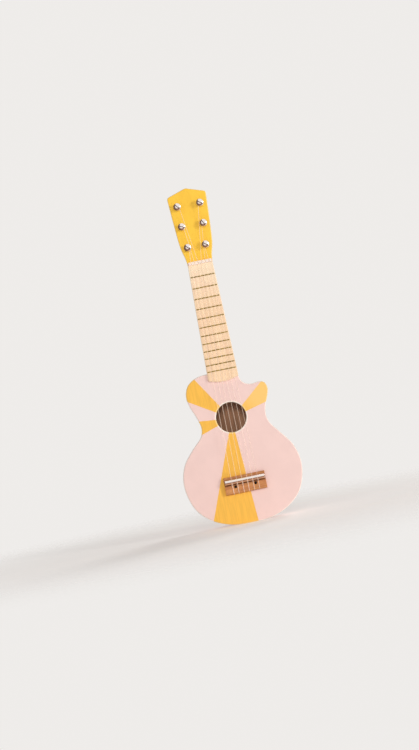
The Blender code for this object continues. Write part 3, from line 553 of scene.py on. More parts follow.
def linked(name, data):
    """A new object in the scene."""
    obj = bpy.data.objects.new(name, data)
    bpy.context.scene.collection.objects.link(obj)
    return obj


def piece(name, mesh, look, body, replaced=(), place=None):
    """One shown piece: it rides on a body, takes the look's materials and hides the CAD nodes it takes the
    place of.
    """
    obj = linked(name, mesh)
    if place:
        obj.matrix_world = place
    for material in look if isinstance(look, tuple) else [look]:
        mesh.materials.append(material)
    even = obj.modifiers.new("even_normals", "WEIGHTED_NORMAL")
    even.keep_sharp = True
    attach(obj, body)
    if replaced:
        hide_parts(*replaced)
    return obj


def round_edges(bm, edges, width, segments, clamp=False):
    bmesh.ops.bevel(
        bm, geom=edges, offset=width, segments=segments, profile=0.5, affect="EDGES", clamp_overlap=clamp
    )


def eased(bm, width, segments=3, above=radians(30)):
    """Rounds every edge that is sharper than an angle."""
    edges = [e for e in bm.edges if e.is_manifold and e.calc_face_angle(0) > above]
    round_edges(bm, edges, width, segments, clamp=True)


def skin(bm, rows):
    """Faces between each two neighbouring closed rows of vertices, and one over each end."""
    for low, high in zip(rows, rows[1:]):
        for i in range(len(low)):
            j = (i + 1) % len(low)
            bm.faces.new((low[i], low[j], high[j], high[i]))
    bm.faces.new(rows[0])
    bm.faces.new(rows[-1])


def prism_bm(corners, depth):
    """A closed outline of 3-D corners pushed along the vector depth, and its first face."""
    bm = bmesh.new()
    face = bm.faces.new([bm.verts.new(c) for c in corners])
    pushed = bmesh.ops.extrude_face_region(bm, geom=[face])["geom"]
    bmesh.ops.translate(bm, vec=depth, verts=[g for g in pushed if isinstance(g, bmesh.types.BMVert)])
    bmesh.ops.recalc_face_normals(bm, faces=bm.faces)
    return bm, face


def box_mesh(name, size, centre, turn=0.0):
    """A box, put in place and then turned about the Y axis."""
    bm = bmesh.new()
    spin = Matrix.Rotation(turn, 4, "Y")
    matrix = spin @ Matrix.Translation(centre) @ Matrix.Diagonal((*size, 1))
    bmesh.ops.create_cube(bm, size=1, matrix=matrix)
    return mesh_from(bm, name)


def cylinder(radius, front, back):
    """A plain cylinder's (radius, front) points."""
    return (0, front), (radius, front), (radius, back), (0, back)


def turned_mesh(name, profile, segments=64, axis="Y", sharp=SHARP):
    """A turned solid from (radius, front) points, closed on its axis or a closed ring."""
    bm = bmesh.new()
    line = [bm.verts.new((radius, -front, 0)) for radius, front in profile]
    edges = [bm.edges.new(pair) for pair in zip(line, line[1:])]
    if profile[0][0] > 0:
        edges.append(bm.edges.new((line[-1], line[0])))
    bmesh.ops.spin(
        bm, geom=[*line, *edges], cent=(0, 0, 0), axis=(0, 1, 0), angle=2 * pi, steps=segments, use_merge=True
    )
    bmesh.ops.remove_doubles(bm, verts=bm.verts, dist=COARSE_WELD)
    if axis != "Y":
        turn = {"X": Matrix.Rotation(pi / 2, 3, "Z"), "Z": Matrix.Rotation(-pi / 2, 3, "X")}[axis]
        bmesh.ops.rotate(bm, cent=(0, 0, 0), matrix=turn, verts=bm.verts)
    return mesh_from(bm, name, sharp)


def arc(centre, radii, start, end, steps):
    """Points of a quarter or other part of an ellipse, as (first, second) pairs, angles in degrees."""
    return [
        (centre[0] + radii[0] * cos(a), centre[1] + radii[1] * sin(a))
        for a in np.radians(np.linspace(start, end, steps + 1))
    ]


def joined_mesh(name, meshes_at):
    bm = bmesh.new()
    for mesh, place in meshes_at:
        copy = mesh.copy()
        copy.transform(place if isinstance(place, Matrix) else Matrix.Translation(place))
        bm.from_mesh(copy)
        bpy.data.meshes.remove(copy)
    return mesh_from(bm, name)


def carved(mesh, *tools, operation="DIFFERENCE"):
    """The mesh after a Boolean with each of the tool meshes."""
    helpers = [linked("carved", mesh), *[linked("tool", tool) for tool in tools]]
    for helper in helpers[1:]:
        modifier = helpers[0].modifiers.new("cut", "BOOLEAN")
        modifier.object = helper
        modifier.operation = operation
    bpy.context.view_layer.update()
    graph = bpy.context.evaluated_depsgraph_get()
    made = bpy.data.meshes.new_from_object(helpers[0].evaluated_get(graph))
    for helper in helpers:
        bpy.data.objects.remove(helper)
    made.name = mesh.name
    made.materials.clear()
    made.shade_smooth()
    made.set_sharp_from_angle(angle=radians(SHARP))
    return made


def tube_mesh(name, points, radius):
    """A round wire along the points, with slightly rounded ends. Its section turns as little as it can."""
    points = [Vector(p) for p in points]
    ahead = [(b - a).normalized() for a, b in zip(points, points[1:])]
    tangents = [ahead[0], *[(a + b).normalized() for a, b in zip(ahead, ahead[1:])], ahead[-1]]
    across = tangents[0].orthogonal().normalized()
    rows = []
    for i, (point, tangent) in enumerate(zip(points, tangents)):
        across = (across - tangent * across.dot(tangent)).normalized()
        other = tangent.cross(across)
        sections = [(0.0, 1.0)]
        if i == 0:
            sections = [*[(-out, share) for out, share in reversed(TUBE_END)], *sections]
        if i == len(points) - 1:
            sections += TUBE_END
        rows += [(point + tangent * out * radius, across, other, share) for out, share in sections]
    bm = bmesh.new()
    angles = [2 * pi * k / TUBE_SIDES for k in range(TUBE_SIDES)]
    rings = [
        [bm.verts.new(point + radius * share * (cos(a) * side + sin(a) * other)) for a in angles]
        for point, side, other, share in rows
    ]
    skin(bm, rings)
    return mesh_from(bm, name, 60)


def eased_route(points, ease):
    """The same route with each corner rounded off by a short curve."""
    points = [Vector(p) for p in points]
    found = [points[0]]
    for before, corner, after in zip(points, points[1:], points[2:]):
        back = min(ease, 0.45 * (corner - before).length)
        forth = min(ease, 0.45 * (after - corner).length)
        start = corner + (before - corner).normalized() * back
        end = corner + (after - corner).normalized() * forth
        for t in (0.0, 0.25, 0.5, 0.75, 1.0):
            found.append(start * (1 - t) ** 2 + corner * 2 * t * (1 - t) + end * t**2)
    found.append(points[-1])
    return found


def cad_bm(node):
    """A CAD node's solid, with its vertices merged and its flat faces whole."""
    bm = bmesh.new()
    bm.from_mesh(frame["nodes"][node].data)
    bmesh.ops.remove_doubles(bm, verts=bm.verts, dist=COARSE_WELD)
    bmesh.ops.dissolve_limit(bm, angle_limit=radians(0.5), verts=bm.verts, edges=bm.edges)
    return bm


def face_loops(node, axis, value):
    """The closed edges of a CAD node's flat face at one coordinate, widest first, as lists of points."""
    bm = cad_bm(node)
    flat = {f for f in bm.faces if all(abs(v.co[axis] - value) < FLAT for v in f.verts)}
    rim = {e for e in bm.edges if len(flat.intersection(e.link_faces)) == 1}
    loops = []
    while rim:
        edge = rim.pop()
        loop = [edge.verts[0], edge.verts[1]]
        while loop[-1] is not loop[0]:
            edge = next(e for e in loop[-1].link_edges if e in rim)
            rim.remove(edge)
            loop.append(edge.other_vert(loop[-1]))
        loops.append([v.co.copy() for v in loop[:-1]])
    bm.free()

    def spread(loop):
        return (Vector(map(max, zip(*loop))) - Vector(map(min, zip(*loop)))).length

    return sorted(loops, key=spread, reverse=True)


def finer_loop(points, steps):
    """More points along a closed outline: a smooth curve except where it turns sharply."""
    count = len(points)
    ahead = [(points[(i + 1) % count] - points[i]).normalized() for i in range(count)]
    corner = [ahead[i - 1].angle(ahead[i]) > CORNER_TURN for i in range(count)]
    found = []
    for i in range(count):
        b, c = points[i], points[(i + 1) % count]
        length = (c - b).length
        a = 2 * b - c if corner[i] else b - ahead[i - 1] * length
        d = 2 * c - b if corner[(i + 1) % count] else c + ahead[(i + 1) % count] * length
        for k in range(steps):
            t = k / steps
            bend = (2 * a - 5 * b + 4 * c - d) * t**2
            twist = (3 * b - a - 3 * c + d) * t**3
            found.append((2 * b + (c - a) * t + bend + twist) / 2)
    return found


def refined(node, look, ease=0.3 * MM):
    """A CAD node's own shape with its edges eased, for plain pieces inside the body."""
    bm = cad_bm(node)
    eased(bm, ease, 2)
    body = frame["nodes"][node]["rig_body"]
    return piece(f"{node}_eased", mesh_from(bm, f"{node}_eased"), look, body, [node])


# Body


def body_outline():
    """The body's outline as (x, z), from the flat back of the soundboard."""
    loop = face_loops("soundboard", 1, FACE_Y + PLATE)[0]
    return [(p.x, p.z) for p in finer_loop(loop, OUTLINE_STEPS)]


def plate_mesh(name, outline, y, depth):
    """A board with its outer edge rounded over, from the outer face at y to depth behind it."""
    bm, face = prism_bm([Vector((x, y, z)) for x, z in outline], Vector((0, depth, 0)))
    round_edges(bm, list(face.edges), EDGE_ROUND, EDGE_STEPS)
    return mesh_from(bm, name)


def build_plates(outline, raw):
    mouth_radius = HOLE_RADIUS + HOLE_ROUND
    mouth = arc((mouth_radius, -HOLE_ROUND), (HOLE_ROUND, HOLE_ROUND), 90, 180, EDGE_STEPS)
    profile = [(0, PLATE), (mouth_radius, PLATE), *mouth, (HOLE_RADIUS, -2 * PLATE), (0, -2 * PLATE)]
    hole = turned_mesh("sound_hole", profile, 160)
    hole.transform(Matrix.Translation((0, FACE_Y, HOLE_Z)))
    front = carved(plate_mesh("painted_soundboard", outline, FACE_Y, PLATE), hole)
    back = plate_mesh("painted_back", outline, FACE_Y + BODY_DEPTH, -PLATE)
    for mesh, inward in ((front, 1), (back, -1)):
        for face in mesh.polygons:
            from_axis = hypot(face.center.x, face.center.z - HOLE_Z)
            behind_edge = face.center.y > FACE_Y + HOLE_ROUND
            in_hole = inward == 1 and from_axis < HOLE_RADIUS + 0.05 * MM and behind_edge
            face.material_index = int(face.normal.y * inward > 0.9 or in_hole)
    front_looks = (body_paint("front_paint", rays=True), raw)
    piece("painted_soundboard", front, front_looks, "guitar", ["soundboard"])
    back_looks = (body_paint("back_paint"), raw)
    piece("painted_back", back, back_looks, "guitar", ["back_panel"])


def build_rim(outline, raw):
    """The bent side between the plates, a hair inside their edges so that the joint shows as a fine line."""
    front, back = FACE_Y + PLATE + SEAM / 2, FACE_Y + BODY_DEPTH - PLATE - SEAM / 2
    depth = Vector((0, back - front, 0))
    bm, _ = prism_bm([Vector((x, front, z)) for x, z in outline], depth)
    outer = mesh_from(bm, "painted_rim")
    inner = finer_loop(face_loops("side_rim", 1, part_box("side_rim")[0].y)[1], OUTLINE_STEPS)
    tree = KDTree(len(inner))
    for index, point in enumerate(inner):
        tree.insert((point.x, 0, point.z), index)
    tree.balance()
    bm, _ = prism_bm([Vector((p.x, front - PLATE, p.z)) for p in inner], depth + Vector((0, 2 * PLATE, 0)))
    rim = carved(outer, mesh_from(bm, "cavity"))
    for face in rim.polygons:
        corners = [rim.vertices[index].co for index in face.vertices]
        inside = all(tree.find((corner.x, 0, corner.z))[2] < 0.02 * MM for corner in corners)
        face.material_index = int(inside)
    looks = (body_paint("rim_paint", rounded=False), raw)
    piece("painted_rim", rim, looks, "guitar", ["side_rim"])


# Neck


def table_value(height, table, column):
    return float(np.interp(height, [row[0] for row in table], [row[column] for row in table]))


def neck_section(z):
    """One cross-section: flat front, eased front corners, and a superellipse behind."""
    height = z / MM
    half = table_value(height, NECK_WIDTHS, 1) * MM
    depth = table_value(height, NECK_BACK, 1) * MM
    power = 2 / table_value(height, NECK_BACK, 2)
    slope = (table_value(height + 0.2, NECK_WIDTHS, 1) - table_value(height - 0.2, NECK_WIDTHS, 1)) / 0.4
    ease = HEAD_ROUND * float(np.interp(z, (HEAD_PAINT_Z - MM, HEAD_PAINT_Z + 6 * MM), (0.15, 1)))
    ease_x = min(ease * sqrt(1 + slope**2), 0.98 * half)
    back = []
    for k in range(NECK_BACK_STEPS + 1):
        angle = pi * k / NECK_BACK_STEPS
        x, y = cos(angle), max(sin(angle), 0.0)
        back.append((-half * copysign(abs(x) ** power, x), depth * y**power))
    # The stretch behind the eased corners is cut into equal steps along its length.
    start = next(k for k, (x, y) in enumerate(back) if y > ease)
    end_x = back[start - 1][0]
    stretch = np.array([(end_x, ease), *back[start : NECK_BACK_STEPS + 1 - start], (-end_x, ease)])
    lengths = np.concatenate([[0], np.cumsum(np.hypot(*np.diff(stretch, axis=0).T))])
    wanted = np.linspace(0, lengths[-1], NECK_SIDES + 1)
    body = list(zip(np.interp(wanted, lengths, stretch[:, 0]), np.interp(wanted, lengths, stretch[:, 1])))
    edge = -body[0][0]
    corner = arc((edge - ease_x, ease), (ease_x, -ease), 90, 0, 6)[:-1]
    section = [(-x, y) for x, y in corner] + body + [(x, y) for x, y in reversed(corner)]
    return [at(x, -y, z) for x, y in section]


def build_neck():
    heights = {row[0] for row in NECK_WIDTHS[1:]} | {row[0] for row in NECK_BACK}
    for low, high, step in NECK_SPACING:
        heights |= set(np.arange(low, high, step))
    bm = bmesh.new()
    skin(bm, [[bm.verts.new(p) for p in neck_section(height * MM)] for height in sorted(heights)])
    bore = turned_mesh("bore", cylinder(HEAD_BORE_RADIUS, MM, -2 * HEAD_THICKNESS))
    bores = joined_mesh("bores", [(bore, post) for post in POSTS])
    neck = carved(mesh_from(bm, "painted_neck"), bores)
    piece("painted_neck", neck, neck_look(), "guitar", ["neck"])


def build_fingerboard():
    """The tapered board, whose end over the soundboard is a shallow arc, with its front edges rounded."""
    corner = table_value(BOARD_WIDE, NECK_WIDTHS, 1) * MM
    nut_corner = table_value(BOARD_NARROW, NECK_WIDTHS, 1) * MM
    wide_z = BOARD_WIDE * MM
    top = NUT_LOW.z - 0.1 * MM
    end = [
        (across * corner, BOARD_LOW_Z + (BOARD_CORNER_Z - BOARD_LOW_Z) * across**2)
        for across in np.linspace(-1, 1, 33)
    ]
    outline = [*end, (corner, wide_z), (nut_corner, top), (-nut_corner, top), (-corner, wide_z)]
    bm, face = prism_bm([at(x, BOARD_TOP, z) for x, z in outline], Vector((0, BOARD_TOP - LIFT, 0)))
    sides = [e for e in face.edges if min(v.co.z for v in e.verts) < top - MM]
    round_edges(bm, sides, BOARD_ROUND, 6)
    mesh = mesh_from(bm, "wood_fingerboard")
    piece("wood_fingerboard", mesh, fingerboard_look(), "guitar", ["fingerboard"])


def build_frets():
    """Round-topped wires whose ends slope down to the board."""
    look = fret_look()
    for number in range(1, FRETS + 1):
        node = f"fret_{number:02d}"
        low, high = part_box(node)
        z, half = (low.z + high.z) / 2, high.x
        width, height = (high.z - low.z) / 2, FACE_Y - low.y - BOARD_TOP
        bm = bmesh.new()
        rows = []
        stations = [
            *np.linspace(-half, -half + FRET_SLOPE, 6),
            *np.linspace(-half + 3 * MM, half - 3 * MM, 9),
            *np.linspace(half - FRET_SLOPE, half, 6),
        ]
        for x in stations:
            inward = min(1.0, (half - abs(x)) / FRET_SLOPE)
            rise = 0.25 + 0.75 * sqrt(1 - (1 - inward) ** 2)
            section = arc((z, BOARD_TOP), (width * (0.8 + 0.2 * rise), height * rise), 0, 180, 14)
            rows.append([bm.verts.new(at(x, front, across)) for across, front in section])
        skin(bm, rows)
        mesh = mesh_from(bm, f"fret_wire_{number:02d}", 50)
        piece(f"fret_wire_{number:02d}", mesh, look, "guitar", [node])


def build_nut():
    bm = cad_bm("nut")
    eased(bm, 0.28 * MM, 3)
    piece("moulded_nut", mesh_from(bm, "moulded_nut"), nut_look(), "guitar", ["nut"])


# Bridge


def build_bridge():
    """The block's section, taken from the CAD solid's end face, pushed across and bored."""
    section = face_loops("bridge", 0, BRIDGE_LOW.x)[0]
    section = [p if p.y < FACE_Y - MM else Vector((p.x, FACE_Y - LIFT, p.z)) for p in section]
    bm, _ = prism_bm(section, Vector((BRIDGE_HIGH.x - BRIDGE_LOW.x, 0, 0)))
    eased(bm, 0.45 * MM, 3)
    block = mesh_from(bm, "wood_bridge")
    rim = 0.35 * MM
    wide = BRIDGE_BORE_RADIUS
    seat, shank = BRIDGE_SCREW_SEAT - 0.3 * MM, 1.8 * MM
    bore_profile = (
        (0, 2 * DECK_TOP), (wide + 2 * DECK_TOP, 2 * DECK_TOP), (wide + rim, DECK_TOP),
        (wide, DECK_TOP - rim), (wide, seat), (shank, seat), (shank, -MM), (0, -MM),
    )
    bore = turned_mesh("screw_bore", bore_profile, 48)
    bores = joined_mesh("screw_bores", [(bore, bridge_screw_place(side)) for side in (-1, 1)])
    tie_profile = cylinder(TIE_HOLE_RADIUS, CHANNEL_LOW_Z + MM, BRIDGE_LOW.z - MM)
    tie = turned_mesh("tie", tie_profile, 24, "Z")
    ties = joined_mesh("ties", [(tie, at(bridge_string_x(n), TIE_HOLE_FRONT, 0)) for n in range(1, 7)])
    mesh = carved(block, bores, ties)
    piece("wood_bridge", mesh, bridge_look(), "guitar", ["bridge"])


def build_rod():
    half, ease = (ROD_HIGH.x - ROD_LOW.x) / 2, 0.6 * MM
    end = arc((ROD_RADIUS - ease, half - ease), (ease, ease), 90, 0, 5)
    profile = [(0, half), *end, *[(r, -f) for r, f in reversed(end)], (0, -half)]
    mesh = turned_mesh("chrome_rod", profile, 96, "X", sharp=50)
    look = metal_look("rod_chrome", CHROME, 0.10, 0.08, (300, 5000, 5000))
    place = Matrix.Translation(at(BRIDGE_X, ROD_FRONT, ROD_Z))
    piece("chrome_rod", mesh, look, "guitar", ["saddle_rod"], place)


def cross_cutter(top, reach, width, depth, turn):
    """Two crossed boxes that cut a screwdriver recess into a head whose top is at a given front."""
    size = (reach, 2 * depth, width)
    boxes = [box_mesh("bar", size, (0, -top, 0), turn + side) for side in (0, pi / 2)]
    return carved(boxes[0], boxes[1], operation="UNION")


def screw_dome(radius, front, height):
    """A rounded head's (radius, front) points, from the axis outwards."""
    dome = arc((0, front), (radius, height), 90, 0, 10)
    return [(0, dome[0][1]), *dome[1:]]


def bridge_screw_place(side):
    return at(BRIDGE_X + side * BRIDGE_SCREW_X, 0, BRIDGE_SCREW_Z)


def build_bridge_screws():
    look = black_screw_look()
    low, radius, shank = BRIDGE_SCREW_SEAT, BRIDGE_SCREW_HEAD, 1.5 * MM
    dome = screw_dome(radius, low + 0.3 * MM, 1.3 * MM)
    profile = [*dome, (radius, low), (shank, low), (shank, -6.5 * MM), (0, -8.5 * MM)]
    for side, name, turn in ((-1, "bridge_screw_left", 0.5), (1, "bridge_screw_right", 1.1)):
        recess = cross_cutter(low + 1.6 * MM, 2.6 * MM, 0.6 * MM, MM, turn)
        head = carved(turned_mesh(name, profile, 48), recess)
        place = Matrix.Translation(bridge_screw_place(side))
        piece(f"{name}_fine", head, look, "guitar", [name], place)


# Tuners


def post_mesh():
    dome = arc((1.9 * MM, 7.7 * MM), (4.1 * MM, 2.1 * MM), 90, 0, 18)
    under = arc((5.6 * MM, 7.6 * MM), (0.4 * MM, 0.35 * MM), 0, -90, 5)
    profile = [
        (0, CAP_TOP), *dome, *under, (2.9 * MM, 7.2 * MM), (2.45 * MM, 7.05 * MM),
        (WAIST_RADIUS, 6.7 * MM), (WAIST_RADIUS, 2.75 * MM), (2.45 * MM, 2.6 * MM), (3.4 * MM, 2.3 * MM),
        (COLLAR_RADIUS, 2.1 * MM), (COLLAR_RADIUS, 1.55 * MM), (POST_RADIUS, 1.5 * MM),
        (POST_RADIUS, POST_SHOULDER), (PIN_RADIUS, POST_SHOULDER), (PIN_RADIUS, PIN_END), (0, PIN_END),
    ]
    slot = box_mesh("slot", (16 * MM, 1.9 * MM, 1.2 * MM), (0, -CAP_TOP, 0))
    hole = turned_mesh("hole", cylinder(0.55 * MM, 5 * MM, -5 * MM), 20, "X")
    hole.transform(Matrix.Translation((0, -STRING_HOLE_FRONT, 0)))
    bm = bmesh.new()
    bm.from_mesh(carved(turned_mesh("post", profile, 72), slot, hole))
    return mesh_from(bm, "post", 30)


def knob_mesh():
    """A hub with two rounded wings for finger and thumb."""
    ease = 1.0 * MM
    rim = HUB_RADIUS - ease
    hub_profile = [
        (0, KNOB_NEAR), *arc((rim, KNOB_NEAR - ease), (ease, ease), 90, 0, 5),
        *arc((rim, KNOB_FAR + ease), (ease, ease), 0, -90, 5), (0, KNOB_FAR),
    ]
    hub = turned_mesh("hub", hub_profile, 64)
    oval = [
        Vector((-WING_THICKNESS / 2, -WING_MIDDLE + WING_HALF_HEIGHT * sin(a), WING_HALF_LENGTH * cos(a)))
        for a in np.linspace(0, 2 * pi, 72, endpoint=False)
    ]
    bm, _ = prism_bm(oval, Vector((WING_THICKNESS, 0, 0)))
    eased(bm, 1.1 * MM, 6, radians(50))
    wings = mesh_from(bm, "wings")
    bore = turned_mesh("knob_bore", cylinder(KNOB_BORE_RADIUS, 0, KNOB_BORE_END), 40)
    union = carved(hub, wings, operation="UNION")
    return carved(union, bore)


def bushing_mesh():
    flange = arc((4.2 * MM, 0.6 * MM), (0.6 * MM, 0.6 * MM), 90, 0, 6)
    profile = [
        (BUSHING_BORE, 1.1 * MM), (2.75 * MM, 1.2 * MM), *flange, (4.8 * MM, 0.02 * MM),
        (BUSHING_RADIUS, 0.02 * MM), (BUSHING_RADIUS, BUSHING_END), (BUSHING_BORE, BUSHING_END),
    ]
    return turned_mesh("bushing", profile, 72)


def knob_screw_mesh():
    seat = KNOB_FAR - 0.1 * MM
    radius, shank = 2.6 * MM, MM
    dome = [(r, 2 * seat - front) for r, front in screw_dome(radius, seat + 0.5 * MM, 1.2 * MM)]
    profile = [*dome, (radius, seat), (shank, seat), (shank, seat + 8 * MM), (0, seat + 9 * MM)]
    recess = cross_cutter(seat - 1.7 * MM, 3.0 * MM, 0.6 * MM, 0.9 * MM, 0.3)
    return carved(turned_mesh("knob_screw", profile, 48), recess)


def build_tuners():
    chrome = metal_look("chrome", CHROME, 0.08)
    zinc = metal_look("zinc_screw", ZINC, 0.26, 0.14)
    post_chrome = post_look()
    post, knob, bushing, screw = post_mesh(), knob_mesh(), bushing_mesh(), knob_screw_mesh()
    for number, (place, turn) in enumerate(zip(POSTS, TUNER_TURNS), 1):
        body = f"tuner_{number}"
        turned = Matrix.Translation(place) @ Matrix.Rotation(turn, 4, "Y")
        for name, mesh, look, slot, node in (
            ("chrome_post", post, post_chrome, "chrome", "tuner_post"),
            ("chrome_knob", knob, chrome, "chrome", "tuner_knob"),
            ("knob_screw", screw, zinc, "screw_steel", "tuner_screw"),
        ):
            piece(f"{name}_{number}", mesh.copy(), look, body, [f"{node}_{number}"], turned)
        fixed, nodes = Matrix.Translation(place), [f"tuner_bushing_{number}"]
        piece(f"chrome_bushing_{number}", bushing.copy(), chrome, "guitar", nodes, fixed)


# Strings


def nut_string_x(number):
    return (3.5 - number) * NUT_SPACING


def bridge_string_x(number):
    return BRIDGE_X + (3.5 - number) * BRIDGE_SPACING


def tangent_point(start, centre, radius, side):
    """Where a straight line from start first touches a circle, on the side that side = 1 or -1 says."""
    across, up = centre[0] - start[0], centre[1] - start[1]
    distance = hypot(across, up)
    heading = atan2(up, across) + side * asin(radius / distance)
    run = sqrt(distance**2 - radius**2)
    return start[0] + run * cos(heading), start[1] + run * sin(heading)


def tie_points(x, radius):
    """The knot on the bridge: an end twisted round the string, a loop round where it rises, and back."""
    axis_front = DECK_TOP + CLEAR + 2 * radius
    strand = []
    for k in range(33):
        share = k / 32
        z = TIE_LOW_Z + (TIE_HIGH_Z - TIE_LOW_Z) * share
        angle = 2 * pi * TIE_TURNS * (1 - share)
        strand.append((z, radius * cos(angle), radius * sin(angle)))
    there = [(x + across, axis_front + up, z) for z, across, up in strand]
    back = [(x - across, axis_front - up, z) for z, across, up in reversed(strand)]
    leaving, touch, _ = rise_over_rod(radius)
    share = (TIE_LOOP_FRONT - leaving[1]) / (touch[1] - leaving[1])
    loop_z = leaving[0] + share * (touch[0] - leaving[0])
    reach = 2 * radius + 0.06 * MM
    front = TIE_LOOP_FRONT + 0.2 * MM
    half_turn = np.linspace(0, pi, 9)
    loop = [(x + reach * cos(a), front, loop_z + reach * sin(a)) for a in half_turn]
    tail = (x + radius, axis_front - radius, TIE_LOW_Z - 1.2 * MM)
    return [at(*p) for p in [tail, *there, *loop, *back]]


def rise_over_rod(radius):
    """Where a string leaves its tie hole, where it meets the rod, and the angle there, seen from the side."""
    leaving = (CHANNEL_LOW_Z + radius + CLEAR, TIE_HOLE_FRONT + 0.3 * MM)
    over = ROD_RADIUS + radius + CLEAR
    touch = tangent_point(leaving, (ROD_Z, ROD_FRONT), over, 1)
    return leaving, touch, atan2(touch[1] - ROD_FRONT, touch[0] - ROD_Z)


def string_points(number):
    """The whole string on the guitar, from its twisted end to where it meets its winding."""
    radius = STRING_RADII[number - 1]
    x, nut_x = bridge_string_x(number), nut_string_x(number)
    clear = radius + CLEAR
    rear = BRIDGE_LOW.z
    leaving, _, first = rise_over_rod(radius)
    under = [
        (rear + 0.8 * MM, DECK_TOP + clear), (rear - 0.7 * clear, DECK_TOP + 0.3 * clear),
        (rear - clear, DECK_TOP - MM), (rear - clear, TIE_HOLE_FRONT + 0.7 * clear),
        (rear + 0.2 * MM, TIE_HOLE_FRONT), (CHANNEL_LOW_Z, TIE_HOLE_FRONT), leaving,
    ]
    over = ROD_RADIUS + clear
    bend = np.linspace(first, pi / 2, 12)
    under += [(ROD_Z + over * cos(a), ROD_FRONT + over * sin(a)) for a in bend]
    nut_front = NUT_SLOT_FLOOR + clear
    route = [*tie_points(x, radius), *[at(x, front, z) for z, front in under]]
    route += [at(nut_x, nut_front, NUT_LOW.z), at(nut_x, nut_front, NUT_HIGH.z)]
    touch, _, _, _ = winding_start(number)
    return eased_route([*route, touch], 0.5 * MM)


def winding_start(number):
    """Where a string meets its winding, the angle there, the winding's radius, and the side it turns to."""
    radius = STRING_RADII[number - 1]
    post = POSTS[number - 1]
    side = copysign(1, post.x)
    wound = WAIST_RADIUS + radius + 0.02 * MM
    start = (nut_string_x(number), NUT_HIGH.z)
    x, z = tangent_point(start, (post.x, post.z), wound, side)
    return at(x, WINDING_FRONTS[number - 1], z), atan2(z - post.z, x - post.x), wound, side


def winding_points(number):
    """Turns round the post, from the top one down to the hole, through it and a little way out."""
    radius, post, turn = STRING_RADII[number - 1], POSTS[number - 1], TUNER_TURNS[number - 1]
    _, start, wound, side = winding_start(number)
    top = WINDING_FRONTS[number - 1]
    last_drop = 2 * radius + 0.1 * MM
    drop = top - STRING_HOLE_FRONT - last_drop
    wanted = 2 * pi * drop / (2 * radius + 0.05 * MM) + pi
    # The hole's mouths face along the post's own X axis, which is turned with the post.
    mouth = -turn
    total = side * (start - mouth) % pi
    while total + pi <= wanted:
        total += pi
    points = []
    steps = int(total / radians(12))
    for k in range(steps + 1):
        gone = total * k / steps
        angle = start - side * gone
        if gone < total - pi:
            front = top - drop * gone / (total - pi)
        else:
            front = STRING_HOLE_FRONT + last_drop * (total - gone) / pi
        points.append(at(post.x + wound * cos(angle), front, post.z + wound * sin(angle)))
    end = start - side * total
    for reach in (1.6 * MM, 0.0, -1.6 * MM, -WAIST_RADIUS - 2.2 * MM):
        points.append(at(post.x + reach * cos(end), STRING_HOLE_FRONT, post.z + reach * sin(end)))
    return eased_route(points, 0.5 * MM)


def build_strings():
    look = nylon_look()
    for number, radius in enumerate(STRING_RADII, 1):
        name = f"nylon_string_{number}"
        mesh = tube_mesh(name, string_points(number), radius)
        piece(name, mesh, look, "guitar", [f"string_{number}"])
        name = f"string_winding_{number}"
        mesh = tube_mesh(name, winding_points(number), radius)
        piece(name, mesh, look, f"tuner_{number}")


# Stage


def build_floor():
    """A pale floor that fades into the background."""
    bm = bmesh.new()
    bmesh.ops.create_circle(bm, cap_ends=True, segments=96, radius=FLOOR_RADIUS)
    floor = linked("floor", mesh_from(bm, "floor"))
    floor.visible_glossy = False
    look = Look("floor_pale", Roughness=0.9, Emission_Strength=1.0)
    look.shader.inputs["Emission Color"].default_value = (*FLOOR_GLOW, 1)
    distance = look.hypot(look.coordinate(0), look.coordinate(1))
    fade = look.step(distance, FADE_NEAR, FADE_FAR, 1.0, 0.0)
    look.plug(look.shader.inputs["Alpha"], fade)
    floor.data.materials.append(look.finish(FLOOR_COLOUR))


def build_world():
    """A pale room. Metal sees it bright above and at the lower right, and dark at the left."""
    world = bpy.data.worlds.new("studio")
    bpy.context.scene.world = world
    world.use_nodes = True
    nodes = Nodes(world.node_tree, "Generated")
    x, y, z = (nodes.coordinate(axis) for axis in range(3))
    above = nodes.math("MULTIPLY", nodes.step(z, -0.20, 0.10), nodes.step(y, 0.0, 0.4, 1.0, 0.0))
    above = nodes.math("MULTIPLY", above, nodes.step(x, -0.45, -0.10))
    lower_right = nodes.step(nodes.math("SUBTRACT", x, nodes.math("MULTIPLY", z, 0.3)), 0.50, 0.90)
    left_behind = nodes.step(nodes.math("SUBTRACT", nodes.math("MULTIPLY", y, 0.4), x), -0.25, 0.25)
    metal = nodes.mix(nodes.step(z, -0.95, -0.80, 1.0, 0.0), ROOM_FRONT, ROOM_FLOOR)
    metal = nodes.mix(left_behind, metal, ROOM_DARK)
    metal = nodes.mix(nodes.math("MAXIMUM", above, lower_right), metal, ROOM_BRIGHT)
    path = nodes.tree.nodes.new("ShaderNodeLightPath").outputs
    room = nodes.mix(nodes.step(z, -0.08, 0.08), LIGHT_BELOW, LIGHT_ABOVE)
    room = nodes.mix(path["Is Glossy Ray"], room, metal)
    seen = nodes.mix(path["Is Camera Ray"], room, BACKDROP)
    nodes.plug(nodes.tree.nodes["Background"].inputs["Color"], seen)


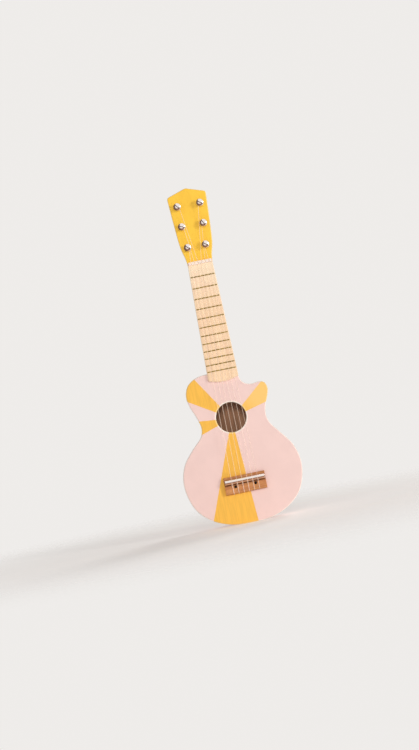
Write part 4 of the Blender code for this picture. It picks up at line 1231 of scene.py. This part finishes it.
def area_light(name, direction, size, power, colour, in_metal=False):
    light = bpy.data.lights.new(name, "AREA")
    light.shape = "DISK"
    light.size = size
    light.energy = power
    light.color = colour
    lamp = linked(name, light)
    direction = Vector(direction).normalized()
    lamp.location = VIEW_AIM + direction * LIGHT_DISTANCE
    lamp.rotation_euler = direction.to_track_quat("Z", "Y").to_euler()
    lamp.visible_glossy = in_metal


def build_lights():
    area_light("key", (0.76, -0.63, 0.15), 1.0, 58, (1.0, 0.97, 0.94), in_metal=True)
    area_light("front", (0.05, -0.97, 0.20), 1.1, 39.5, (1.0, 0.97, 0.955))
    area_light("fill", (-0.60, -0.75, 0.30), 2.0, 12, (1.0, 0.96, 0.94))
    area_light("behind", (0.50, 0.70, 0.52), 1.6, 60, (1.0, 0.97, 0.95))


def build_camera():
    camera = linked("camera", bpy.data.cameras.new("camera"))
    camera.data.lens = LENS
    camera.data.sensor_width = SENSOR
    camera.data.clip_start, camera.data.clip_end = 0.05, 50
    back = Vector((0, -cos(VIEW_ELEVATION), sin(VIEW_ELEVATION)))
    level = Vector((1, 0, 0))
    up = back.cross(level)
    right = cos(TILT) * level - sin(TILT) * up
    above = sin(TILT) * level + cos(TILT) * up
    turn = Matrix((right, above, back)).transposed().to_4x4()
    camera.matrix_world = Matrix.Translation(VIEW_AIM + back * VIEW_DISTANCE) @ turn
    bpy.context.scene.camera = camera
    bpy.context.scene.view_settings.view_transform = "Standard"


def main():
    raw = wood_look("raw_wood", RAW_WOOD, 2, rough=0.8, contrast=0.55)
    outline = body_outline()
    build_plates(outline, raw)
    build_rim(outline, raw)
    inner = wood_look("inner_softwood", shade(RAW_WOOD, 1.15), 2, rough=0.82)
    inner_across = wood_look("inner_softwood_across", shade(RAW_WOOD, 1.15), 0, rough=0.82)
    for node in ("neck_block", "tail_block"):
        refined(node, inner)
    for node in ("upper_brace", "lower_brace", "bridge_plate"):
        refined(node, inner_across)
    zinc = metal_look("zinc_neck_screw", ZINC, 0.28, 0.14)
    for node in ("neck_screw_upper", "neck_screw_lower"):
        refined(node, zinc, 0.15 * MM)
    build_neck()
    build_fingerboard()
    build_frets()
    build_nut()
    build_bridge()
    build_rod()
    build_bridge_screws()
    build_tuners()
    build_strings()
    build_floor()
    build_world()
    build_lights()
    build_camera()


main()
